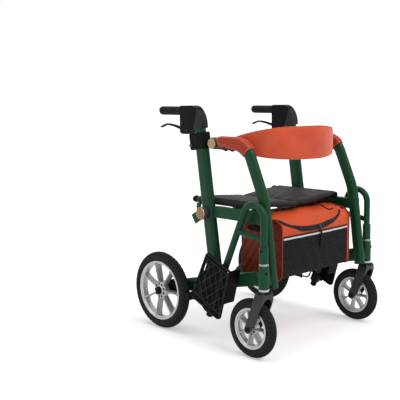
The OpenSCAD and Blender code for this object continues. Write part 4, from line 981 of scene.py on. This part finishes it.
REAR_WHEEL, FRONT_WHEEL = (291, 0, 147.5), (300, 485, 102.5)
WHEELS = (("rear_", REAR_WHEEL, (295, 40, 226, 48), (226, 14.5, 19, 15, 6.4, 31), (25.2, 9, 3.9)),
          ("front_", FRONT_WHEEL, (205, 38, 142, 34), (142, 14, 14, 21, 4.4, 24), (18.8, 7, 3.0)))
hub_cap = [(0, 25.0), (8.5, 24.8), (13.2, 23.6), (15.0, 21.4), (15.5, 16), (15.5, 15.6)]
for side, s in SIDES:
    for end, (lat, f, z), tyre_sizes, rim_sizes, screw_sizes in WHEELS:
        centre = at(s * lat, f, z)
        body = end + "wheel_" + side
        put(tyre(end + "tyre_tread_" + side, centre, s, *tyre_sizes), body, "tyre_rubber",
            end + "tyre_" + side)
        cast, blades = rim(end + "rim_cast_" + side, centre, s, *rim_sizes)
        put(cast, body, "rim_silver", end + "rim_" + side)
        put(blades, body, "rim_silver")
        put(sockets(end + "hub_screws_" + side, centre, s, *screw_sizes), body)
        if end == "rear_":
            turned("rear_hub_cap_" + side, hub_cap, centre, (s, 0, 0), BLACK, 48, "frame_" + side)


# Caster forks, each what a side outline and an arch share, with the rings of fork and column
FOOT_R = 14
COLUMN_SCREW_Z, COLUMN_SCREW_OUT = 302, 0.018
ARCH_OUT, OUT_Z, ARCH_IN, IN_Z, ARCH_LOW = 28.6, 196, 22, 192, 60
leg_mid = smooth_curve([(536, 233), (533, 212), (524, 184), (508, 146), FRONT_WHEEL[1:]], 40)
leg_wide = np.interp(np.linspace(0, 1, 40), [0, 0.2, 0.6, 1], [19.5, 20.0, 18.5, FOOT_R])
leg_back = np.stack([tangents(leg_mid)[:, 1], -tangents(leg_mid)[:, 0]], 1) * leg_wide[:, None]
foot_start = math.atan2(-leg_back[-1, 1], -leg_back[-1, 0])
foot = [leg_mid[-1] + FOOT_R * np.array((math.cos(a), math.sin(a)))
        for a in foot_start + np.linspace(-math.pi, 0, 16)[1:-1]]
fork_outline = np.vstack([[(554, 231), (551, 237), (519, 237), (516.5, 233)], (leg_mid + leg_back)[4:],
                          foot, (leg_mid - leg_back)[:3:-1]])
shoulder = [(ARCH_OUT - 10 * (1 - math.cos(a)), OUT_Z + 41 * math.sin(a))
            for a in np.linspace(0.2, math.pi / 2, 8)]
arch = [(-ARCH_OUT, ARCH_LOW), (-ARCH_OUT, OUT_Z)] + [(-u, v) for u, v in shoulder] + shoulder[::-1]
arch += [(ARCH_OUT, OUT_Z), (ARCH_OUT, ARCH_LOW), (ARCH_IN, ARCH_LOW), (ARCH_IN, IN_Z)]
arch += [(ARCH_IN * math.cos(a), IN_Z + ARCH_IN * math.sin(a)) for a in np.linspace(0, math.pi, 17)[1:-1]]
arch += [(-ARCH_IN, IN_Z), (-ARCH_IN, ARCH_LOW)]
collar = [(0, 231), (24, 231), (24.4, 233), (24.4, 235.6), (21, 237.6), (17, 238.4)]
bearing = [(8, 238), (16.6, 238), (17.2, 239), (17.2, 243.6), (16.2, 246.2), (8, 246.4)]
# A black ring that shows between the knurl's steel teeth: painted reflection, the dark bands of the knurl.
core = [(13.6, 326.1), (15.3, 326.1), (15.3, 331.1), (13.6, 331.1)]
column_screw = [(0, 2.0), (1.6, 2.0), (1.8, 3.0), (3.4, 2.8), (4.2, 1.2), (4.2, -1.5)]
knurl = [(r * math.cos(a), r * math.sin(a)) for a, r in zip(around(112), ([16.3] * 4 + [14.2] * 4) * 14)]
for side, s in SIDES:
    body, frame_body = "caster_" + side, "frame_" + side
    column = at(s * COLUMN_LAT, COLUMN_F, 0)
    fork = prism("caster_fork_cast_" + side, fork_outline, lambda u, v, w: at(s * (COLUMN_LAT + w), u, v),
                 -30, 30, FORK)
    common(fork, prism("fork_tool", arch, lambda u, v, w: at(s * (COLUMN_LAT + u), w, v), 440, 580, FORK))
    fork.data.shade_smooth()
    soften(fork, 2.2, 3, 35)
    put(fork, body, "black_plastic", "caster_fork_" + side)
    turned("caster_collar_" + side, collar, column, UP, BLACK, 48, body)
    turned("caster_ring_" + side, bearing, column, UP, WHITE, 48, body, closed=True)
    for n, (z0, z1) in enumerate(((325.1, 326.3), (330.9, 331.9))):
        chrome = [(15.0, z0), (16.0, z0), (16.4, z0 + 0.5), (16.4, z1 - 0.5), (16.0, z1), (15.0, z1)]
        turned("column_collar_%s_%d" % (side, n), chrome, column, UP, SILVER, 64, frame_body,
               "bright_steel", True)
    put(prism("column_knurl_" + side, knurl, lambda u, v, w: at(s * (COLUMN_LAT + u), COLUMN_F + v, w),
              326.2, 331.0, STEEL), frame_body, "bright_steel")
    # The black core in the gaps between the teeth paints the knurl's dark reflections.
    turned("column_core_painted_reflection_" + side, core, column, UP, SOFT_BLACK, 48, frame_body, closed=True)
    away = np.array((s * 0.35, -0.94, 0.0))
    spot = at(s * COLUMN_LAT, COLUMN_F, COLUMN_SCREW_Z) + away * COLUMN_SCREW_OUT
    turned("column_screw_%s_0" % side, column_screw, spot, away, SOFT_BLACK, 20, frame_body)


# Covers on the lower arms: a shroud round the axle's end and the housing of the brake
def arm_z(f):
    return 154.5 + 124.5 * f / COLUMN_F


SHROUD_R, SHROUD_F, SHROUD_HALF = 28.5, 62, 27
shroud = [(SHROUD_R * math.cos(a), 152 + SHROUD_R * math.sin(a))
          for a in np.linspace(math.pi / 2, 1.5 * math.pi, 20)]
shroud += [(SHROUD_F, arm_z(SHROUD_F) - SHROUD_HALF), (SHROUD_F, arm_z(SHROUD_F) + SHROUD_HALF)]
housing = rounded([(153, 136), (188, 136), (205, 160), (205, 192), (192, 208), (153, 208)],
                  [6, 12, 12, 10, 10, 8], 5)
brake_screw = [(0, 0.6), (1.7, 0.6), (1.9, 1.6), (3.4, 1.6), (4.2, 0.6), (4.2, -2)]
for side, s in SIDES:
    beside = lambda u, v, w: at(s * (SIDE_LAT + w), u, v)
    put(prism("arm_end_cover_" + side, shroud, beside, -13.6, 13.6, BLACK, 4.0, 4, 40), "frame_" + side)
    put(prism("brake_housing_" + side, housing, beside, 12.7, 23.0, BLACK, 3.5, 4, 40), "brake_arm_" + side)
    turned("brake_screw_" + side, brake_screw, beside(171.5, 190.4, 22.8), (s, 0, 0), KNOB_GREY, 20,
           "brake_arm_" + side)


# Footplates: a tray with a lattice of thin ribs, hinge ears and a heel stop along its front edge
LEG_LEAN = math.radians(23.8)
LEG_F, LEG_Z = 272.28, 105.36
PLATE_P0, PLATE_P1, PLATE_Y0, PLATE_Y1, PLATE_FLARE = -80.0, 45.0, 30.0, 222.0, 27.5
HEEL_Y0, HEEL_Y1 = 94.0, 212.0
RIB_Y0, RIB_Y1 = PLATE_Y0 + 25, PLATE_Y1 - 16
RIB_LIFT = 29.2


def plate_front(y):
    return PLATE_P1 + PLATE_FLARE * (PLATE_Y1 - y) / (PLATE_Y1 - PLATE_Y0)


def plate_rear(y):
    return PLATE_P0 - PLATE_FLARE / 4 * (PLATE_Y1 - y) / (PLATE_Y1 - PLATE_Y0)


rib_field = [(plate_rear(RIB_Y0) + 3, RIB_Y0), (plate_front(RIB_Y0) - 3, RIB_Y0),
             (plate_front(RIB_Y1) - 3, RIB_Y1), (plate_rear(RIB_Y1) + 3, RIB_Y1)]
rib_ends = [((plate_rear(y) + 2, y), (plate_front(y) - 2, y)) for y in (RIB_Y0, RIB_Y1)]
for share in (0.26, 0.76):
    rib_ends.append([(plate_rear(y) * (1 - share) + plate_front(y) * share, y) for y in (RIB_Y0, RIB_Y1)])
for lean in (-0.60, 0.60):
    for k in range(-9, 10):
        line = [(-12 + 34 * k + t * math.sin(lean), 126 + t * math.cos(lean))
                for t in np.linspace(-160, 160, 321)]
        line = [q for q in line if inside(q, rib_field)]
        if len(line) > 14:
            rib_ends.append((line[0], line[-1]))
plate_edge = rounded([(plate_rear(PLATE_Y0), PLATE_Y0), (-14, PLATE_Y0), (-14, 44), (14, 44),
                      (14, PLATE_Y0), (plate_front(PLATE_Y0), PLATE_Y0), (PLATE_P1, PLATE_Y1),
                      (PLATE_P0, PLATE_Y1)],
                     [11, 3, 3, 3, 3, 16, 9, 9], 6)
plate_bead = resample(plate_edge, 260, True)
bead_way = tangents(plate_bead, True)
plate_bead = plate_bead + 2.0 * np.stack([-bead_way[:, 1], bead_way[:, 0]], 1)
plate_holes = [circle(4.5, 24) + np.array(q) for q in ((36, 211), (-2, 101), (57, 92))]
plate_holes.append(rounded([(-72, 150), (-63, 150), (-63, 184), (-72, 184)], 4, 5))
ear = [(28 + 6 * math.cos(a), 22 + 6 * math.sin(a)) for a in np.linspace(math.pi / 2, 1.5 * math.pi, 14)]
ear += [(35, 18), (38, 21.2), (50, 21.2), (50, 27)]
heel = [(plate_front(y) - back, y)
        for y, back in ((HEEL_Y0, 4.2), (HEEL_Y0, 0.2), (HEEL_Y1, 0.2), (HEEL_Y1, 4.2))]
pin = [(0, -19.4), (3.4, -19.4), (4, -18.8), (4, 18.8), (3.4, 19.4)]
heel_roll = [(0, -28.2), (3.8, -28.0), (5, -26.8), (5, 22), (4, 23)]
leg_cap = [(0, -3.2), (10, -3.0), (12.3, -1.5), (12.8, 0.6), (12.8, 19.6)]
thin = rounded([(-1.1, -0.8), (1.1, -0.8), (0.8, 1.6), (-0.8, 1.6)], 0.4, 3)
for side, s in SIDES:
    def leg(p, y, out):
        f = LEG_F + p * math.cos(LEG_LEAN) + y * math.sin(LEG_LEAN)
        return at(s * (COLUMN_LAT + out), f, LEG_Z - p * math.sin(LEG_LEAN) + y * math.cos(LEG_LEAN))
    body = "footplate_" + side
    foot = leg(0, 0, 0)
    plate = prism("plate", plate_edge, leg, 21.3, 28.4, PLATE, 1.3)
    for hole in plate_holes:
        common(plate, prism("plate_tool", hole, leg, 10, 40, PLATE), "DIFFERENCE")
    parts = [plate, prism("heel", heel, leg, -28, 24, PLATE, 1.2)]
    for e in (-15, 15):
        parts.append(prism("ear", ear, lambda u, v, w: leg(w, u, v), e - 4.5, e + 4.5, PLATE, 0.8, 2))
    parts.append(lathe("pin", pin, leg(0, 28, 22), leg(1, 0, 0) - foot, PLATE, 28))
    parts.append(lathe("roll", heel_roll, leg(plate_front(HEEL_Y1) - 5, HEEL_Y1, 0), (s, 0, 0), PLATE, 28))
    turned("leg_end_cap_" + side, leg_cap, foot, leg(0, 1, 0) - foot, BLACK, 40, "hanger_" + side)
    put(join("footplate_cast_" + side, parts), body, "black_plastic", "footplate_" + side)
    # Ribs and edge bead in the lighter grey: painted highlight along their edges.
    ribs = [sweep("rib", [leg(*a, RIB_LIFT), leg(*b, RIB_LIFT)], thin, RIB_PAINTED_HIGHLIGHT, (s, 0, 0))
            for a, b in rib_ends]
    ribs.append(sweep("bead", [leg(p, y, RIB_LIFT) for p, y in plate_bead], thin * (1.3, 1.1), RIB_PAINTED_HIGHLIGHT,
                      (s, 0, 0), True))
    put(join("footplate_ribs_" + side, ribs), body)


# Handle heads, clamps, grips and levers
HEAD_F, HEAD_Z = 183.34, 776.42
LEAN_UP = math.radians(8.5)
PIVOT_F, PIVOT_Z = 267, 216.6
KNOB_UP, KNOB_OUT, KNOB_R = 256, 17.3, 20.4
CLAMP_Y0, CLAMP_Y1 = 485, 546
HEAD_REAR, HEAD_HALF = 93.0, 16.2
head_form = [(24, -30)]
head_form += [(-33 + 57.2 * math.cos(a), 77 * math.sin(a)) for a in np.linspace(0, math.pi / 2, 28)]
head_form += list(rounded([(-34, 77), (-HEAD_REAR, 76), (-HEAD_REAR, -60), (-34, -60)], [1, 8, 1, 1], 8))
cover_cut = [(2, 100), (60, 100), (60, 2.5), (-22, -10), (-11, 28), (0, 66)]
seam_cut = [(-9, 71), (9, 71), (-2, 28), (-10, -2), (-26, -5), (-20, 28)]
house_cut = [(-120, 100), (0.4, 100), (-1.6, 66), (-12.6, 28), (-23.6, -9.5), (-32, -11)]
house_cut += list(rounded([(-32, -11), (-50, -27.5), (-87, -27.5), (-HEAD_REAR, -18), (-120, -18)],
                          [4, 7, 8, 4, 1], 6)[6:-6])
lever_outline = smooth_curve([(-78, 3), (-94, 2), (-110, 0), (-140, 6), (-176, 9.5), (-196, 5), (-215, -2),
                              (-217, -6), (-213, -8), (-196, -2.5), (-176, 2.5), (-140, -2.5), (-108, -11),
                              (-90, -13), (-76, -11), (-72, -5)], 90, True)
head_screw = [(0, 0.6), (1.7, 0.6), (1.9, 1.6), (3.2, 1.6), (3.9, 0.6), (3.9, -2)]
grip = [(0, 123.0), (6, 122.8), (11, 121.2), (14.6, 117.6), (16.2, 112), (16.0, 106), (15.6, 104.8),
        (15.6, 103.2), (16, 102)]
for k in range(9):
    z = 96 - 9.2 * k
    grip += [(16.2, z + 2.6), (15.7, z + 1.2), (15.7, z - 1.2), (16.2, z - 2.6)]
grip += [(16.2, 12), (16.2, 8.4), (17.0, 7), (17.6, 5), (17.6, 1.2), (16.6, 0)]
clamp_plan = rounded([(-46.5, -21), (32.5, -21), (32.5, 21), (-46.5, 21)], [10, 13, 13, 10], 8)
clamp_plug = [(0, 1.6), (4.2, 1.5), (5.6, 0.9), (6.2, 0.9), (7.2, 1.4), (8.0, 0.8), (8.2, -2)]
knob_rs = [KNOB_R + 0.6 * (1 if k % 4 < 2 else -1) for k in range(160)]
knob = [(r * math.cos(a), r * math.sin(a)) for r, a in zip(knob_rs, around(160))]
knob_neck = [(0, 23), (17.5, 23), (17.5, 26.6)]
knob_bolt = [(0, -45.2), (5, -45.2), (9, -44.4), (9.4, -43.4), (9.4, -40.2), (5.2, -40), (5.2, 0.6)]
disc = [(0, 31.4), (10, 31.2), (17.6, 30.6), (19.3, 29.8), (19.3, 26)]
disc_edge = [(19.2, 26), (20.6, 26), (21.0, 27), (21.0, 29.8), (20.5, 30.6), (19.7, 30.6), (19.2, 29.8)]
# The cover's lighter black paints the light that parts it from the housing.
HEAD_SHELLS = (("cover", cover_cut, HEAD_HALF, 13.5, COVER_PAINTED_LIGHT),
               ("housing", house_cut, HEAD_HALF - 0.3, 6.0, BLACK),
               ("core", seam_cut, HEAD_HALF - 2.4, 11.0, SOFT_BLACK))
for side, s in SIDES:
    def head(u, v, w):
        return at(s * (SIDE_LAT + w), HEAD_F + u, HEAD_Z + v)

    def leaning(x, y, w):
        f = PIVOT_F + x * math.cos(LEAN_UP) - y * math.sin(LEAN_UP)
        return at(s * (SIDE_LAT + w), f, PIVOT_Z + x * math.sin(LEAN_UP) + y * math.cos(LEAN_UP))
    body, upright, knob_body = "handle_" + side, "upright_" + side, "tilt_knob_" + side
    out = (s, 0, 0)
    for name, cut, wide, edge, black in HEAD_SHELLS:
        shell = prism("handle_%s_%s" % (name, side), head_form, head, -wide, wide, black, edge, 6, 35)
        freeze(shell)
        common(shell, prism("head_tool", cut, head, -60, 60, black))
        soften(shell, 0.7, 2, 50)
        put(shell, body, "black_plastic", *(["handle_head_" + side] if name == "cover" else []))
    for n, (u, v) in enumerate(((-82, 16), (-56, -14))):
        turned("handle_screw_%s_%d" % (side, n), head_screw, head(u, v, HEAD_HALF - 0.8), out, KNOB_GREY,
               20, body, "bright_steel")
    put(lathe("grip_rubber_" + side, grip, head(-HEAD_REAR - 0.3, 57, 0), (0, 1, 0), GRIP, 56), body,
        "grip_rubber", "grip_" + side)
    put(prism("brake_lever_cast_" + side, lever_outline, head, -5, 5, BLACK, 2.0, 3, 40),
        "brake_lever_" + side, "black_plastic", "brake_lever_" + side)
    clamp = prism("height_clamp_cast_" + side, clamp_plan, lambda u, v, w: leaning(u, w, v),
                  CLAMP_Y0, CLAMP_Y1, BLACK, 5.5, 5)
    put(clamp, upright, "black_plastic", "height_clamp_" + side)
    turned("height_clamp_plug_" + side, clamp_plug, leaning(-6, 524, 21), out, SOFT_BLACK, 40, upright)
    put(prism("tilt_knob_grip_" + side, knob, lambda u, v, w: leaning(u, KNOB_UP + v, KNOB_OUT + w),
              0.2, 23.5, KNOB_GREY), knob_body, "black_plastic", "tilt_knob_" + side)
    spot = leaning(0, KNOB_UP, KNOB_OUT)
    turned("tilt_knob_neck_" + side, knob_neck, spot, out, KNOB_GREY, 48, knob_body)
    turned("tilt_knob_bolt_" + side, knob_bolt, spot, out, STEEL, 36, knob_body, "bright_steel")
    # The tilt disc takes the darker copy of the copper: painted shade.
    turned("tilt_disc_" + side, disc, spot, out, COPPER_PAINTED_SHADE, 72, knob_body, "copper_cap")
    turned("tilt_disc_edge_" + side, disc_edge, spot, out, COPPER_EDGE, 72, knob_body, "copper_cap", True)


# Floor, light and background
def lifted(tree, low, high, strength):
    """Drives a strength: low for the light on the object, high for the camera and what mirrors it."""
    ray = tree.nodes.new("ShaderNodeLightPath")
    seen = ray.outputs["Is Camera Ray"]
    for kind in ("Is Glossy Ray", "Is Transmission Ray"):
        both = tree.nodes.new("ShaderNodeMath")
        both.operation = "MAXIMUM"
        tree.links.new(seen, both.inputs[0])
        tree.links.new(ray.outputs[kind], both.inputs[1])
        seen = both.outputs[0]
    level = tree.nodes.new("ShaderNodeMapRange")
    level.inputs["To Min"].default_value = low
    level.inputs["To Max"].default_value = high
    tree.links.new(seen, level.inputs["Value"])
    tree.links.new(level.outputs["Result"], strength)


FLOOR_HALF = 40
floor_mesh = bpy.data.meshes.new("floor")
floor_corners = ((-1, -1), (1, -1), (1, 1), (-1, 1))
floor_mesh.from_pydata([(x * FLOOR_HALF, y * FLOOR_HALF, 0) for x, y in floor_corners], [], [(0, 1, 2, 3)])
floor_white = Material("floor_white", 0.9, spec=0.0)
floor_white.bsdf.inputs["Base Color"].default_value = (0.84, 0.84, 0.84, 1)
floor_white.bsdf.inputs["Emission Color"].default_value = (1, 1, 1, 1)
lifted(floor_white.tree, 0.0, 0.42, floor_white.bsdf.inputs["Emission Strength"])
floor_mesh.materials.append(floor_white.data)
add_object("floor", floor_mesh)

world = bpy.data.worlds.new("studio")
world.use_nodes = True
bpy.context.scene.world = world
background = world.node_tree.nodes["Background"]
background.inputs["Color"].default_value = (1, 1, 1, 1)
lifted(world.node_tree, 0.32, 1.0, background.inputs["Strength"])


def lamp(name, away, power, soft):
    """A wide, even lamp that shines from the direction away; soft is its width in degrees."""
    data = bpy.data.lights.new(name, "SUN")
    data.energy = power
    data.angle = math.radians(soft)
    add_object(name, data).rotation_euler = (-Vector(away)).to_track_quat("-Z", "Y").to_euler()


lamp("key", (0.25, -1.0, 1.3), 1.3, 34)
lamp("top", (-0.1, 0.15, 1.0), 0.85, 34)
lamp("side", (-1.0, 0.1, 0.6), 0.28, 40)

bpy.context.scene.view_settings.view_transform = "Standard"
